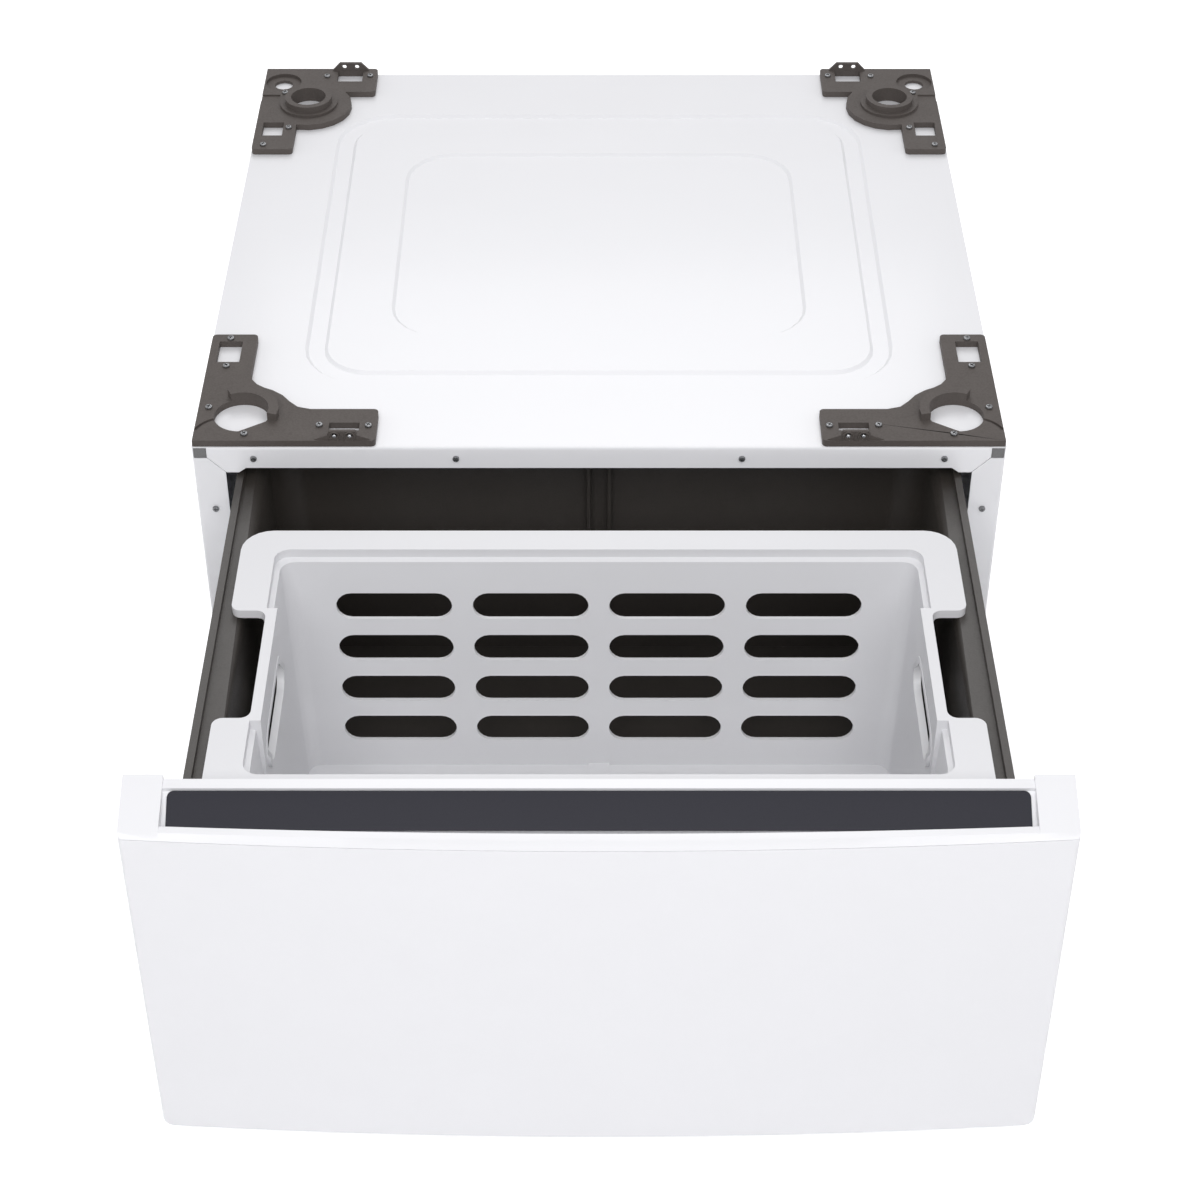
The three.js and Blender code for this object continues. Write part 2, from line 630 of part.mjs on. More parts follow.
function rearBracketOutline() {
  const [near, corner] = [BRACKET_INSET, BRACKET_CORNER];
  const [end, top] = [near + REAR_ARM, near + REAR_SIDE_ARM];
  const [inner, side] = [near + REAR_ARM_WIDTH, near + SIDE_ARM_WIDTH];
  const [u, w, bulge] = [REAR_RING_U, REAR_RING_W, REAR_BULGE_RADIUS];
  const shape = new THREE.Shape();
  shape.moveTo(near, near);
  shape.lineTo(end - corner, near);
  shape.absarc(end - corner, near + corner, corner, -Math.PI / 2, 0);
  shape.absarc(end - corner, inner - corner, corner, 0, Math.PI / 2);
  shape.absarc(u, w, bulge, Math.asin((inner - w) / bulge), Math.acos((side - u) / bulge));
  shape.absarc(side - corner, top - corner, corner, 0, Math.PI / 2);
  shape.absarc(near + corner, top - corner, corner, Math.PI / 2, Math.PI);
  return shape;
}

const bracketSweep = (outline, top) => sweep('z', outline, BRACKET_BOTTOM, top, 1, BRACKET_STEPS);

// The upright clip plate at the end of an arm and the slot behind it.
function clipPlate(centre, w, edge) {
  const right = edge.map(([u, z]) => [centre + u, z]);
  const left = edge.map(([u, z]) => [centre - u, z]).reverse();
  const outline = polygon([...right, ...left]);
  outline.holes = [-1, 1].map((way) => (
    circle(centre + (way * CLIP_HOLE_PITCH) / 2, CLIP_HEIGHT / 2, CLIP_HOLE_RADIUS, CLIP_HOLE_SIDES)
  ));
  return placed(sweep('y', outline, w, w + CLIP_SHEET), 0, 0, BRACKET_TOP);
}

function clippedArm(plate, end, clipW, clipEdge, slotW) {
  const centre = end - CLIP_FROM_END;
  const [from, to] = [centre - SLOT_LENGTH / 2, centre + SLOT_LENGTH / 2];
  const slot = block(from, to, ...slotW, BRACKET_BOTTOM - 1, BRACKET_TOP + 1);
  return join(cut(plate, slot), clipPlate(centre, clipW, clipEdge));
}

const throughDisc = (u, w, radius, sides) => (
  disc('z', u, w, radius, BRACKET_BOTTOM - 1, BRACKET_TOP + REAR_RING_HEIGHT + 1, sides)
);

const withScrewHoles = (plate, screws) => screws.reduce((rest, [u, w]) => (
  cut(rest, screwHole('z', u, w, BRACKET_BOTTOM - 1, BRACKET_TOP + 1))
), plate);

// The front hole, round but for one straight side.
function frontHole() {
  const turn = THREE.MathUtils.degToRad(FRONT_CHORD_TURN);
  const half = Math.acos(FRONT_CHORD / FRONT_HOLE_RADIUS);
  const shape = new THREE.Shape();
  shape.absarc(FRONT_RING_U, FRONT_RING_W, FRONT_HOLE_RADIUS, turn + half, turn - half + Math.PI * 2);
  return sweep('z', shape, BRACKET_BOTTOM - 1, BRACKET_TOP + FRONT_RING_HEIGHT + 1, 1, HOLE_SIDES);
}

function frontBracket() {
  const end = BRACKET_INSET + FRONT_ARM;
  const windowEnd = BRACKET_INSET + FRONT_SIDE_ARM - WINDOW_FROM_END;
  const ring = ringSector(
    FRONT_RING_U, FRONT_RING_W, FRONT_HOLE_RADIUS, FRONT_RING_RADIUS, FRONT_RING_START, FRONT_RING_END,
  );
  const groove = ringSector(
    GROOVE_U, GROOVE_W, GROOVE_RADIUS - GROOVE_WIDTH / 2, GROOVE_RADIUS + GROOVE_WIDTH / 2,
    GROOVE_START, GROOVE_END,
  );
  const plate = join(
    clippedArm(
      bracketSweep(frontBracketOutline(), BRACKET_TOP), end, FRONT_CLIP_W, FRONT_CLIP_EDGE, FRONT_SLOT_W,
    ),
    bracketSweep(ring, BRACKET_TOP + FRONT_RING_HEIGHT),
  );
  const opened = cut(
    plate,
    frontHole(),
    sweep('z', groove, BRACKET_TOP - GROOVE_DEPTH, BRACKET_TOP + 1),
    block(
      WINDOW_U, WINDOW_U + WINDOW_WIDTH, windowEnd - FRONT_WINDOW_LENGTH, windowEnd,
      BRACKET_BOTTOM - 1, BRACKET_TOP + 1,
    ),
  );
  return withScrewHoles(opened, FRONT_SCREWS);
}

function rearBracket() {
  const end = BRACKET_INSET + REAR_ARM;
  const windowEnd = BRACKET_INSET + REAR_SIDE_ARM - REAR_WINDOW_FROM_END;
  const plate = cut(
    clippedArm(bracketSweep(rearBracketOutline(), BRACKET_TOP), end, REAR_CLIP_W, REAR_CLIP_EDGE, REAR_SLOT_W),
    disc('z', SINK_U, SINK_W, SINK_RADIUS, BRACKET_TOP - SINK_DEPTH, BRACKET_TOP + 1, HOLE_SIDES),
    block(0, PAD_LENGTH, ...PAD_W, BRACKET_TOP - PAD_DEPTH, BRACKET_TOP + 1),
  );
  const raised = (radius, height) => (
    disc('z', REAR_RING_U, REAR_RING_W, radius, BRACKET_BOTTOM, BRACKET_TOP + height, HOLE_SIDES)
  );
  const ringed = join(
    plate, raised(REAR_COLLAR_RADIUS, REAR_COLLAR_HEIGHT), raised(REAR_RING_RADIUS, REAR_RING_HEIGHT),
  );
  const opened = cut(
    ringed,
    throughDisc(REAR_RING_U, REAR_RING_W, REAR_HOLE_RADIUS, HOLE_SIDES),
    throughDisc(SINK_U, SINK_W, SINK_HOLE_RADIUS, SINK_SIDES),
    block(
      WINDOW_U, WINDOW_U + WINDOW_WIDTH, windowEnd - REAR_WINDOW_LENGTH, windowEnd,
      BRACKET_BOTTOM - 1, BRACKET_TOP + 1,
    ),
  );
  return withScrewHoles(opened, REAR_SCREWS);
}

// From bracket coordinates to the right-hand corners of the deck.
function atFrontRight(solid) {
  return placed(mirrored(solid), SIDE, 0, 0);
}

function atRearRight(solid) {
  const geometry = toGeometry(solid).applyMatrix4(new THREE.Matrix4().makeScale(-1, -1, 1));
  return placed(toSolid(geometry), SIDE, CABINET_DEPTH, 0);
}

pair(cabinet, 'front_corner_bracket', atFrontRight(frontBracket()), BRACKET_PLASTIC);
pair(cabinet, 'rear_corner_bracket', atRearRight(rearBracket()), BRACKET_PLASTIC);

// Every screw hole of a right-hand bracket, as [x, y] on the deck.
const DECK_SCREWS = {
  front: FRONT_SCREWS.map(([u, w]) => [SIDE - u, w]),
  rear: REAR_SCREWS.map(([u, w]) => [SIDE - u, CABINET_DEPTH - w]),
};
const SCREW_LENGTH = BRACKET_TOP + SEAT - DECK_UNDER;

for (const [end, [drawn]] of Object.entries(DECK_SCREWS)) {
  const seat = [...drawn, BRACKET_TOP + SEAT];
  pair(cabinet, `${end}_bracket_screw`, screw(seat, 'up', SCREW_LENGTH, SCREW_HEAD), ZINC);
}

// ---------------------------------------------------------------------------------------------------
// Deck
// ---------------------------------------------------------------------------------------------------
// Right half of the edge of the deck's front flange, as [x, z] from the middle to the corner.
const MITRE_FOOT = OPENING_SIDE - 1;
const FLANGE_END = PLUG_INNER - SEAT;
const TAB_START = OPENING_SIDE - TAB_LENGTH;
const FLANGE_EDGE = [
  [TAB_START, FLANGE_BOTTOM], [TAB_START + TAB_SLOPE, TAB_BOTTOM], [MITRE_FOOT, TAB_BOTTOM],
  [FLANGE_END, TAB_BOTTOM + FLANGE_END - MITRE_FOOT], [FLANGE_END, DECK_UNDER], [SIDE + 1, DECK_UNDER],
];

const FOLD = STEEL + BEND;

function flangeTrim() {
  const low = TAB_BOTTOM - FOLD;
  const right = [...FLANGE_EDGE, [SIDE + 1, low]];
  const left = right.map(([x, z]) => [-x, z]).reverse();
  return sweep('y', polygon([...right, ...left]), -1, FOLD + 1);
}

function pressedDeck(margin) {
  const [x, y0, y1] = [SIDE - CHANNEL_SIDE_INSET, CHANNEL_FRONT_INSET, CABINET_DEPTH - CHANNEL_REAR_INSET];
  const sunkX = SIDE - SUNK_SIDE_INSET;
  const under = DECK_HEIGHT - CHANNEL_DEPTH - SUNK_DEPTH - 2 * STEEL;
  const inner = CHANNEL_WIDTH;
  const island = (by) => roundedLoop(
    inner - x - by, x - inner + by, y0 + inner - by, y1 - inner + by, CHANNEL_RADIUS - inner + by,
  );
  const channel = cut(
    dish(-x, x, y0, y1, CHANNEL_RADIUS, CHANNEL_DEPTH, DECK_HEIGHT),
    loft([
      { loop: island(PRESS_SLOPE * 2), z: DECK_HEIGHT - CHANNEL_DEPTH * 2 },
      { loop: island(0), z: DECK_HEIGHT }, { loop: island(0), z: DECK_HEIGHT + CHANNEL_DEPTH * 2 },
    ]),
  );
  const sunk = dish(
    -sunkX, sunkX, SUNK_FRONT_INSET, CABINET_DEPTH - SUNK_REAR_INSET, SUNK_RADIUS, SUNK_DEPTH, DECK_HEIGHT,
  );
  const form = block(-x - margin, x + margin, y0 - margin, y1 + margin, under, DECK_HEIGHT);
  return skinOf(cut(form, channel, sunk), STEEL);
}

function deck() {
  const path = [
    [CABINET_DEPTH, DECK_HEIGHT - REAR_LIP], [CABINET_DEPTH, DECK_HEIGHT], [0, DECK_HEIGHT],
    [0, TAB_BOTTOM - FOLD],
  ];
  const margin = STEEL * 4;
  const [x, y0, y1] = [SIDE - CHANNEL_SIDE_INSET, CHANNEL_FRONT_INSET, CABINET_DEPTH - CHANNEL_REAR_INSET];
  const bare = cut(
    sweep('x', folded(path, STEEL, BEND), -SIDE, SIDE),
    flangeTrim(),
    block(-x - STEEL, x + STEEL, y0 - STEEL, y1 + STEEL, DECK_UNDER - 1, DECK_HEIGHT + 1),
    ...[-1, 1].map((way) => block(
      way > 0 ? SIDE_INNER - SEAT : -SIDE - 1, way > 0 ? SIDE + 1 : SEAT - SIDE_INNER,
      CABINET_DEPTH - FOLD, CABINET_DEPTH + 1, DECK_HEIGHT - REAR_LIP - 1, DECK_UNDER,
    )),
  );
  const holes = [
    ...Object.values(DECK_SCREWS).flat().flatMap(([u, v]) => [[u, v], [-u, v]]).map(([u, v]) => (
      screwHole('z', u, v, DECK_UNDER - 1, DECK_HEIGHT + 1)
    )),
    ...FLANGE_SCREW_X.flatMap((at) => [-at, at]).map((at) => (
      screwHole('y', at, DECK_HEIGHT - FLANGE_SCREW_DROP, -1, FOLD + 1)
    )),
  ];
  return cut(join(bare, pressedDeck(margin)), ...holes);
}

piece(cabinet, 'top_panel', deck(), WHITE_PAINT);

// ---------------------------------------------------------------------------------------------------
// Side panels, back panel and corner plugs
// ---------------------------------------------------------------------------------------------------
const SIDE_SCREW_Z = SIDE_SCREW_DROPS.map((drop) => DECK_HEIGHT - drop);

function sidePanel() {
  const path = [
    [OPENING_SIDE, 0], [SIDE, 0], [SIDE, CABINET_DEPTH], [SIDE - REAR_FLANGE, CABINET_DEPTH],
  ];
  const seam = TAB_BOTTOM + OPENING_SIDE - MITRE_FOOT - MITRE_GAP * Math.SQRT2;
  const plugSeat = PLUG_BOTTOM - SEAT;
  const mitre = polygon([
    [OPENING_SIDE - 1, seam - 1], [OPENING_SIDE + plugSeat - seam, plugSeat], [SIDE_INNER, plugSeat],
    [SIDE_INNER, DECK_HEIGHT], [OPENING_SIDE - 1, DECK_HEIGHT],
  ]);
  const body = cut(
    sweep('z', folded(path, STEEL, BEND), FLOOR_GAP, SIDE_TOP),
    sweep('y', mitre, -1, FOLD + 1),
    block(
      SIDE - REAR_FLANGE - 1, SIDE_INNER, CABINET_DEPTH - FOLD - 1, CABINET_DEPTH + 1,
      DECK_HEIGHT - REAR_LIP - SEAT, DECK_HEIGHT,
    ),
    ...SIDE_SCREW_Z.map((z) => screwHole('y', SIDE - SIDE_SCREW_INSET, z, -1, FOLD)),
  );
  const behind = RAIL_WIDTH + 2 * BRACE_WIDTH;
  return join(
    body,
    block(SIDE - LOWER_FLANGE, SIDE_INNER, FOLD, CABINET_DEPTH - FOLD, FLOOR_GAP, FLOOR_GAP + STEEL),
    block(SIDE_INNER - UPPER_FLANGE, SIDE_INNER, behind, CABINET_DEPTH - behind, SIDE_TOP - STEEL, SIDE_TOP),
  );
}

pair(cabinet, 'side_panel', sidePanel(), WHITE_PAINT);

// The back panel is pressed lying down, then stood up behind the cabinet.
function backPanel() {
  const half = SIDE_INNER - BEND - SEAT;
  const [low, high] = [RAIL_TOP + SEAT, SIDE_TOP - BEND];
  const flat = block(-half, half, low, high, -BACK_FIELD_DEPTH * 2, 0);
  const field = dish(
    BACK_FIELD_INSET - half, half - BACK_FIELD_INSET, low + BACK_FIELD_INSET, high - BACK_FIELD_INSET,
    BACK_FIELD_INSET / 2, BACK_FIELD_DEPTH, 0,
  );
  const sheet = skinOf(cut(flat, field), STEEL);
  const stood = toSolid(toGeometry(sheet).applyMatrix4(new THREE.Matrix4().set(
    -1, 0, 0, 0, 0, 0, 1, CABINET_DEPTH - STEEL - SEAT, 0, 1, 0, 0, 0, 0, 0, 1,
  )));
  return stood;
}

piece(cabinet, 'back_panel', backPanel(), WHITE_PAINT);

function cornerPlug() {
  const [x0, x1] = [PLUG_INNER, PLUG_INNER + PLUG_WIDTH];
  const [z0, z1] = [PLUG_BOTTOM, PLUG_BOTTOM + PLUG_HEIGHT];
  const stem = PLUG_WIDTH / 5;
  return join(
    block(x0, x1, 0, STEEL, z0, z1),
    block(x0 + stem, x1 - stem, 0, PLUG_STEM, z0 + stem, z1 - stem),
  );
}

pair(cabinet, 'corner_plug', cornerPlug(), PLUG_PLASTIC);

const FLANGE_SCREWS = {
  outer_flange_screw: [FLANGE_SCREW_X[0], -SEAT, DECK_HEIGHT - FLANGE_SCREW_DROP],
  inner_flange_screw: [FLANGE_SCREW_X[1], -SEAT, DECK_HEIGHT - FLANGE_SCREW_DROP],
  side_flange_screw: [SIDE - SIDE_SCREW_INSET, -SEAT, SIDE_SCREW_Z[0]],
};

for (const [name, seat] of Object.entries(FLANGE_SCREWS)) {
  pair(cabinet, name, screw(seat, 'front', FLANGE_SCREW_DEPTH, FLANGE_SCREW_HEAD), ZINC);
}

// ---------------------------------------------------------------------------------------------------
// Cross members under the deck and along the floor, feet and lock nuts
// ---------------------------------------------------------------------------------------------------
const MEMBER_HALF = SIDE_INNER - SEAT;
const FOOT_X = SIDE - FOOT_INSET_X;
const RUN_ROUND_STUD = STUD_RADIUS + SEAT;

function baseRail(centre) {
  const [y0, y1] = [centre - RAIL_WIDTH / 2, centre + RAIL_WIDTH / 2];
  const path = [[y1, RAIL_BOTTOM], [y1, RAIL_TOP], [y0, RAIL_TOP], [y0, RAIL_BOTTOM]];
  const holes = [-FOOT_X, FOOT_X].map((x) => (
    disc('z', x, centre, RUN_ROUND_STUD, RAIL_BOTTOM, RAIL_TOP + 1, STUD_SIDES)
  ));
  return cut(sweep('x', folded(path, STEEL), -MEMBER_HALF, MEMBER_HALF), ...holes);
}

function deckBrace(centre) {
  const [y0, y1] = [centre - BRACE_WIDTH / 2, centre + BRACE_WIDTH / 2];
  const [low, high] = [DECK_UNDER - SEAT - BRACE_HEIGHT, DECK_UNDER - SEAT];
  const path = [
    [y1 + BRACE_FLANGE, high], [y1, high], [y1, low], [y0, low], [y0, high], [y0 - BRACE_FLANGE, high],
  ];
  return sweep('x', folded(path, STEEL), -MEMBER_HALF, MEMBER_HALF);
}

const FEET_Y = { front: FOOT_INSET_Y, rear: CABINET_DEPTH - FOOT_INSET_Y };
const BRACE_HALF = BRACE_WIDTH / 2 + BRACE_FLANGE;
const BRACES_Y = {
  front: FRONT_RING_W,
  rear: CABINET_DEPTH - CHANNEL_REAR_INSET + BRACE_HALF + PRESS_SLOPE,
};

function foot(y) {
  const sole = FOOT_RADIUS * 0.9;
  const collar = FOOT_PAD + FOOT_COLLAR;
  const profile = [
    [0, 0], [sole, 0], [FOOT_RADIUS, FOOT_PAD * 0.3], [FOOT_RADIUS * 0.8, FOOT_PAD],
    [FOOT_COLLAR_RADIUS, FOOT_PAD], [FOOT_COLLAR_RADIUS, collar], [STUD_RADIUS, collar],
    [STUD_RADIUS, RAIL_TOP + STUD_ABOVE_RAIL], [0, RAIL_TOP + STUD_ABOVE_RAIL],
  ];
  return placed(turned(profile, STUD_SIDES), FOOT_X, y, 0);
}

function lockNut(y) {
  const top = RAIL_TOP - STEEL - SEAT;
  return cut(
    disc('z', FOOT_X, y, NUT_RADIUS, top - NUT_HEIGHT, top, 6),
    disc('z', FOOT_X, y, RUN_ROUND_STUD, top - NUT_HEIGHT - 1, top + 1, STUD_SIDES),
  );
}

for (const [end, y] of Object.entries(FEET_Y)) {
  piece(cabinet, `${end}_base_rail`, baseRail(y), ZINC);
  piece(cabinet, `${end}_deck_brace`, deckBrace(BRACES_Y[end]), ZINC);
  pair(cabinet, `${end}_foot`, foot(y), RUBBER);
  pair(cabinet, `${end}_lock_nut`, lockNut(y), ZINC);
}

// ---------------------------------------------------------------------------------------------------
// Slides: a fixed member on a channel, a middle member, a drawer member and a ball cage in each gap
// ---------------------------------------------------------------------------------------------------
// The right-hand slide; depth runs inwards from the back of the fixed member.
const slidePath = (points) => points.map(([depth, z]) => [SLIDE_BACK - depth, SLIDE_Z + z]);

const memberAlong = (path, thickness, y) => (
  sweep('y', folded(slidePath(path), thickness), y, y + SLIDE_LENGTH)
);

function fixedMember() {
  const [reach, half] = [MID_REACH, SLIDE_HALF_HEIGHT];
  const lip = half - RACE_LIP;
  return memberAlong(
    [[reach, -lip], [reach, -half], [0, -half], [0, half], [reach, half], [reach, lip]],
    SLIDE_SHEET, SLIDE_INSET,
  );
}

function middleMember() {
  const [reach, half] = [MID_REACH, MID_HALF];
  const lip = half - RACE_LIP - SLIDE_SHEET / 2;
  return memberAlong(
    [[reach, -lip], [reach, -half], [MID_WEB, -half], [MID_WEB, half], [reach, half], [reach, lip]],
    SLIDE_SHEET, SLIDE_INSET,
  );
}

function drawerMember() {
  const [web, half] = [SLIDE_DEPTH, INNER_HALF];
  return memberAlong(
    [[INNER_TIP, half], [web, half], [web, -half], [INNER_TIP, -half]], SLIDE_SHEET, SLIDE_INSET + CLOSED_GAP,
  );
}

// A cage: a thin channel and its two rows of balls, each gripped by the sheet round its middle.
function ballCage(web, raceHalf, y) {
  const end = MID_REACH - SLIDE_SHEET - RUN_GAP;
  const row = raceHalf - BALL_RADIUS - BALL_GAP;
  const half = row + CAGE_SHEET / 2;
  const centre = (web + CAGE_SHEET + MID_REACH - SLIDE_SHEET) / 2;
  const channel = sweep(
    'y', folded(slidePath([[end, -half], [web, -half], [web, half], [end, half]]), CAGE_SHEET),
    y, y + CAGE_LENGTH,
  );
  const pitch = CAGE_LENGTH / BALLS_PER_ROW;
  const places = Array.from({ length: BALLS_PER_ROW }, (_, i) => y + pitch * (i + 0.5))
    .flatMap((at) => [[at, -row], [at, row]]);
  const ball = toSolid(new THREE.SphereGeometry(BALL_RADIUS, BALL_SIDES, BALL_RINGS));
  return join(channel, ...places.map(([at, z]) => placed(ball, SLIDE_BACK - centre, at, SLIDE_Z + z)));
}

// Open, the middle member has gone half the drawer's way, and each cage halfway between its two members.
const [CAGE_SHARE, MIDDLE_SHARE, INNER_CAGE_SHARE] = [0.25, 0.5, 0.75];
const movedOut = (share) => subassembly(-DRAWER_TRAVEL * share);
const fixedEnd = SLIDE_INSET + CAGE_END_GAP;

pair(cabinet, 'slide_fixed_member', fixedMember(), ZINC);
pair(movedOut(MIDDLE_SHARE), 'slide_middle_member', middleMember(), ZINC);
pair(drawer, 'slide_drawer_member', drawerMember(), ZINC);
pair(
  movedOut(CAGE_SHARE), 'outer_ball_cage',
  ballCage(CAGE_WEB, SLIDE_HALF_HEIGHT - SLIDE_SHEET, fixedEnd + DRAWER_TRAVEL * CAGE_SHARE), BALL_STEEL,
);
pair(
  movedOut(INNER_CAGE_SHARE), 'inner_ball_cage',
  ballCage(INNER_CAGE_WEB, MID_HALF - SLIDE_SHEET, fixedEnd + DRAWER_TRAVEL * CAGE_SHARE), BALL_STEEL,
);

function slideBracket() {
  const wall = SIDE_INNER - SEAT;
  const plate = SLIDE_BACK + SEAT + STEEL;
  const [low, high] = [SLIDE_Z - BRACKET_SECTION / 2, SLIDE_Z + BRACKET_SECTION / 2];
  const path = [
    [wall, low - BRACKET_TAB], [wall, low], [plate, low],
    [plate, high], [wall, high], [wall, high + BRACKET_TAB],
  ];
  return sweep('y', folded(path, STEEL), SLIDE_INSET, SLIDE_INSET + BRACKET_LENGTH);
}

pair(cabinet, 'slide_bracket', slideBracket(), ZINC);

// ---------------------------------------------------------------------------------------------------
// Tub and the steel rails beside it
// ---------------------------------------------------------------------------------------------------
function tubRail() {
  const path = [
    [LIP_SIDE - SEAT, LEDGE_Z - TUB_WALL - SEAT], [TUB_RAIL_X, LEDGE_Z - TUB_WALL - SEAT],
    [TUB_RAIL_X, SLIDE_Z - BRACKET_SECTION / 2],
  ];
  return sweep('y', folded(path, STEEL), SEAT, TUB_REAR_WALL);
}

pair(drawer, 'tub_rail', tubRail(), ZINC);

const BOSS_Z = { lower: TUB_BOTTOM + BOSS_INSET_Z, upper: LEDGE_Z - BOSS_INSET_Z };
const BOSSES = [-1, 1].flatMap((way) => Object.values(BOSS_Z).map((z) => [way * BOSS_X, z]));

function tub() {
  const wallLoop = (out, lean) => roundedLoop(
    -WALL_SIDE - out + lean, WALL_SIDE + out - lean, TUB_FRONT_RIM - out + lean, TUB_REAR_WALL + out - lean,
    TUB_CORNER + out, TUB_REAR_CORNER + out,
  );
  const rimLoop = (by) => roundedLoop(
    by - TUB_SIDE, TUB_SIDE - by, SEAT, TUB_REAR - by, TUB_RIM_FRONT_CORNER, TUB_RIM_CORNER - by,
  );
  const rim = (by, low, high) => loft([{ loop: rimLoop(by), z: low }, { loop: rimLoop(by), z: high }]);
  const ledge = LEDGE_Z - TUB_WALL;
  const lip = (by, low, high) => cut(
    rim(0, low, high),
    placed(rim(by, low - 1, high + 1), 0, -TUB_FRONT_RIM, 0), rim(by, low - 1, high + 1),
  );
  const outside = loft([
    { loop: wallLoop(TUB_WALL, TUB_DRAFT), z: TUB_BOTTOM }, { loop: wallLoop(TUB_WALL, 0), z: LEDGE_Z },
  ]);
  const inside = loft([
    { loop: wallLoop(0, TUB_DRAFT), z: TUB_BOTTOM + TUB_WALL }, { loop: wallLoop(0, 0), z: LEDGE_Z },
    { loop: wallLoop(0, 0), z: TUB_TOP + 1 },
  ]);
  const ribTop = LEDGE_Z - TUB_RIB_DROP;
  const ribs = [-1, 1].map((way) => {
    const x = (way * TUB_RIB_PITCH) / 2;
    return block(
      x - TUB_RIB / 2, x + TUB_RIB / 2, TUB_REAR_WALL - TUB_DRAFT - TUB_RIB, TUB_REAR_WALL + TUB_WALL / 2,
      TUB_BOTTOM + TUB_WALL / 2, ribTop,
    );
  });
  const bosses = BOSSES.map(([x, z]) => (
    disc('y', x, z, BOSS_RADIUS, SEAT, TUB_FRONT_RIM + TUB_DRAFT - TUB_WALL / 2, STUD_SIDES)
  ));
  const shell = join(
    outside, rim(0, ledge, LEDGE_Z), lip(TUB_LIP, ledge, TUB_TOP), lip(TUB_WALL, TUB_TOP - TUB_SKIRT, LEDGE_Z),
    ...bosses,
  );
  const holes = BOSSES.map(([x, z]) => screwHole('y', x, z, 0, TUB_FRONT_RIM + TUB_DRAFT + 1));
  return cut(join(cut(shell, inside), ...ribs), ...holes);
}

piece(drawer, 'tub', tub(), DARK_PLASTIC);

// The tub's front wall leans, so each screw's head stands just clear of the wall at its own height.
const wallAt = (z) => TUB_FRONT_RIM + TUB_DRAFT * ((LEDGE_Z - z) / (LEDGE_Z - TUB_BOTTOM));

for (const [name, z] of Object.entries(BOSS_Z)) {
  const seat = wallAt(z - SCREW_HEAD_RADIUS) + SEAT;
  pair(drawer, `${name}_tub_screw`, screw([BOSS_X, seat, z], 'back', seat + STEEL, SCREW_HEAD), ZINC);
}

// ---------------------------------------------------------------------------------------------------
// Drawer front: a bowed steel skin, an inner sheet, a plastic cap with the finger groove, and the strip
// ---------------------------------------------------------------------------------------------------
const bow = (x) => Math.max(0, 1 - (x / SIDE) ** 2);

// Points of the bowed face seen from above, from left to right, a distance inside the outer face.
function faceLine(inside) {
  const half = SIDE - inside;
  const edge = FRONT_EDGE - inside;
  const from = half - edge;
  const points = Array.from({ length: BOW_STEPS + 1 }, (_, i) => {
    const x = -from + (2 * from * i) / BOW_STEPS;
    return [x, inside - FRONT_DEPTH - FRONT_BOW * bow(x)];
  });
  const start = points[0][1] + edge;
  const corner = (way) => [30, 60].map((turn) => {
    const angle = THREE.MathUtils.degToRad(turn);
    return [way * (from + edge * Math.cos(angle)), start - edge * Math.sin(angle)];
  });
  return [[-half, start], ...corner(-1), ...points, ...corner(1).reverse(), [half, start]];
}

const frontPlan = (inside, back) => (
  polygon([[inside - SIDE, back], ...faceLine(inside), [SIDE - inside, back]])
);

function frontBlank(inside, top, back) {
  const plan = frontPlan(inside, back);
  const [low, half] = [FRONT_BOTTOM + inside, SIDE - inside];
  const radius = FRONT_CORNER - inside;
  const elevation = polygon(rounded([
    [-half, low, radius], [half, low, radius], [half, top, 0], [-half, top, 0],
  ]));
  return sweep('z', plan, low, top)
    .intersect(sweep('y', elevation, -FRONT_DEPTH - FRONT_BOW - 1, back));
}

// How far a point of the cap moves out in the middle: the groove's front wall by the groove's own bow,
// the face by the whole bow, and nothing behind the groove.
const BOWED_FROM = [
  { y: -FRONT_DEPTH, out: FRONT_BOW }, { y: -CHEEK_RUN, out: GRIP_BOW },
  { y: STRIP_END_Y, out: GRIP_BOW }, { y: GRIP_BACK_Y, out: 0 },
];

function reachAt(y) {
  const next = BOWED_FROM.findIndex((place) => y <= place.y);
  if (next <= 0) return next < 0 ? 0 : FRONT_BOW;
  const [a, b] = [BOWED_FROM[next - 1], BOWED_FROM[next]];
  return THREE.MathUtils.mapLinear(y, a.y, b.y, a.out, b.out);
}

// A profile of (y, z) carried across the front and bowed outwards with it.
function bowed(shape, from, to) {
  const steps = Math.ceil(((to - from) / CABINET_WIDTH) * BOW_STEPS);
  const geometry = sweepGeometry('x', shape, from, to, steps);
  const position = geometry.attributes.position;
  for (let i = 0; i < position.count; i += 1) {
    position.setY(i, position.getY(i) - reachAt(position.getY(i)) * bow(position.getX(i)));
  }
  return toSolid(geometry);
}

function frontSkin() {
  const top = SEAM_Z - SEAM_GAP;
  const half = SIDE - SKIN;
  const hollow = frontBlank(SKIN, top - SKIN, 1);
  const lipBack = STRIP_END_Y - CAP_WALL - SEAT;
  const mouth = bowed(polygon([
    [lipBack, top - SKIN - 1], [1, top - SKIN - 1], [1, top + 1], [lipBack, top + 1],
  ]), -half, half);
  return cut(frontBlank(0, top, 0), hollow, mouth);
}

piece(drawer, 'front_skin', frontSkin(), WHITE_PAINT);

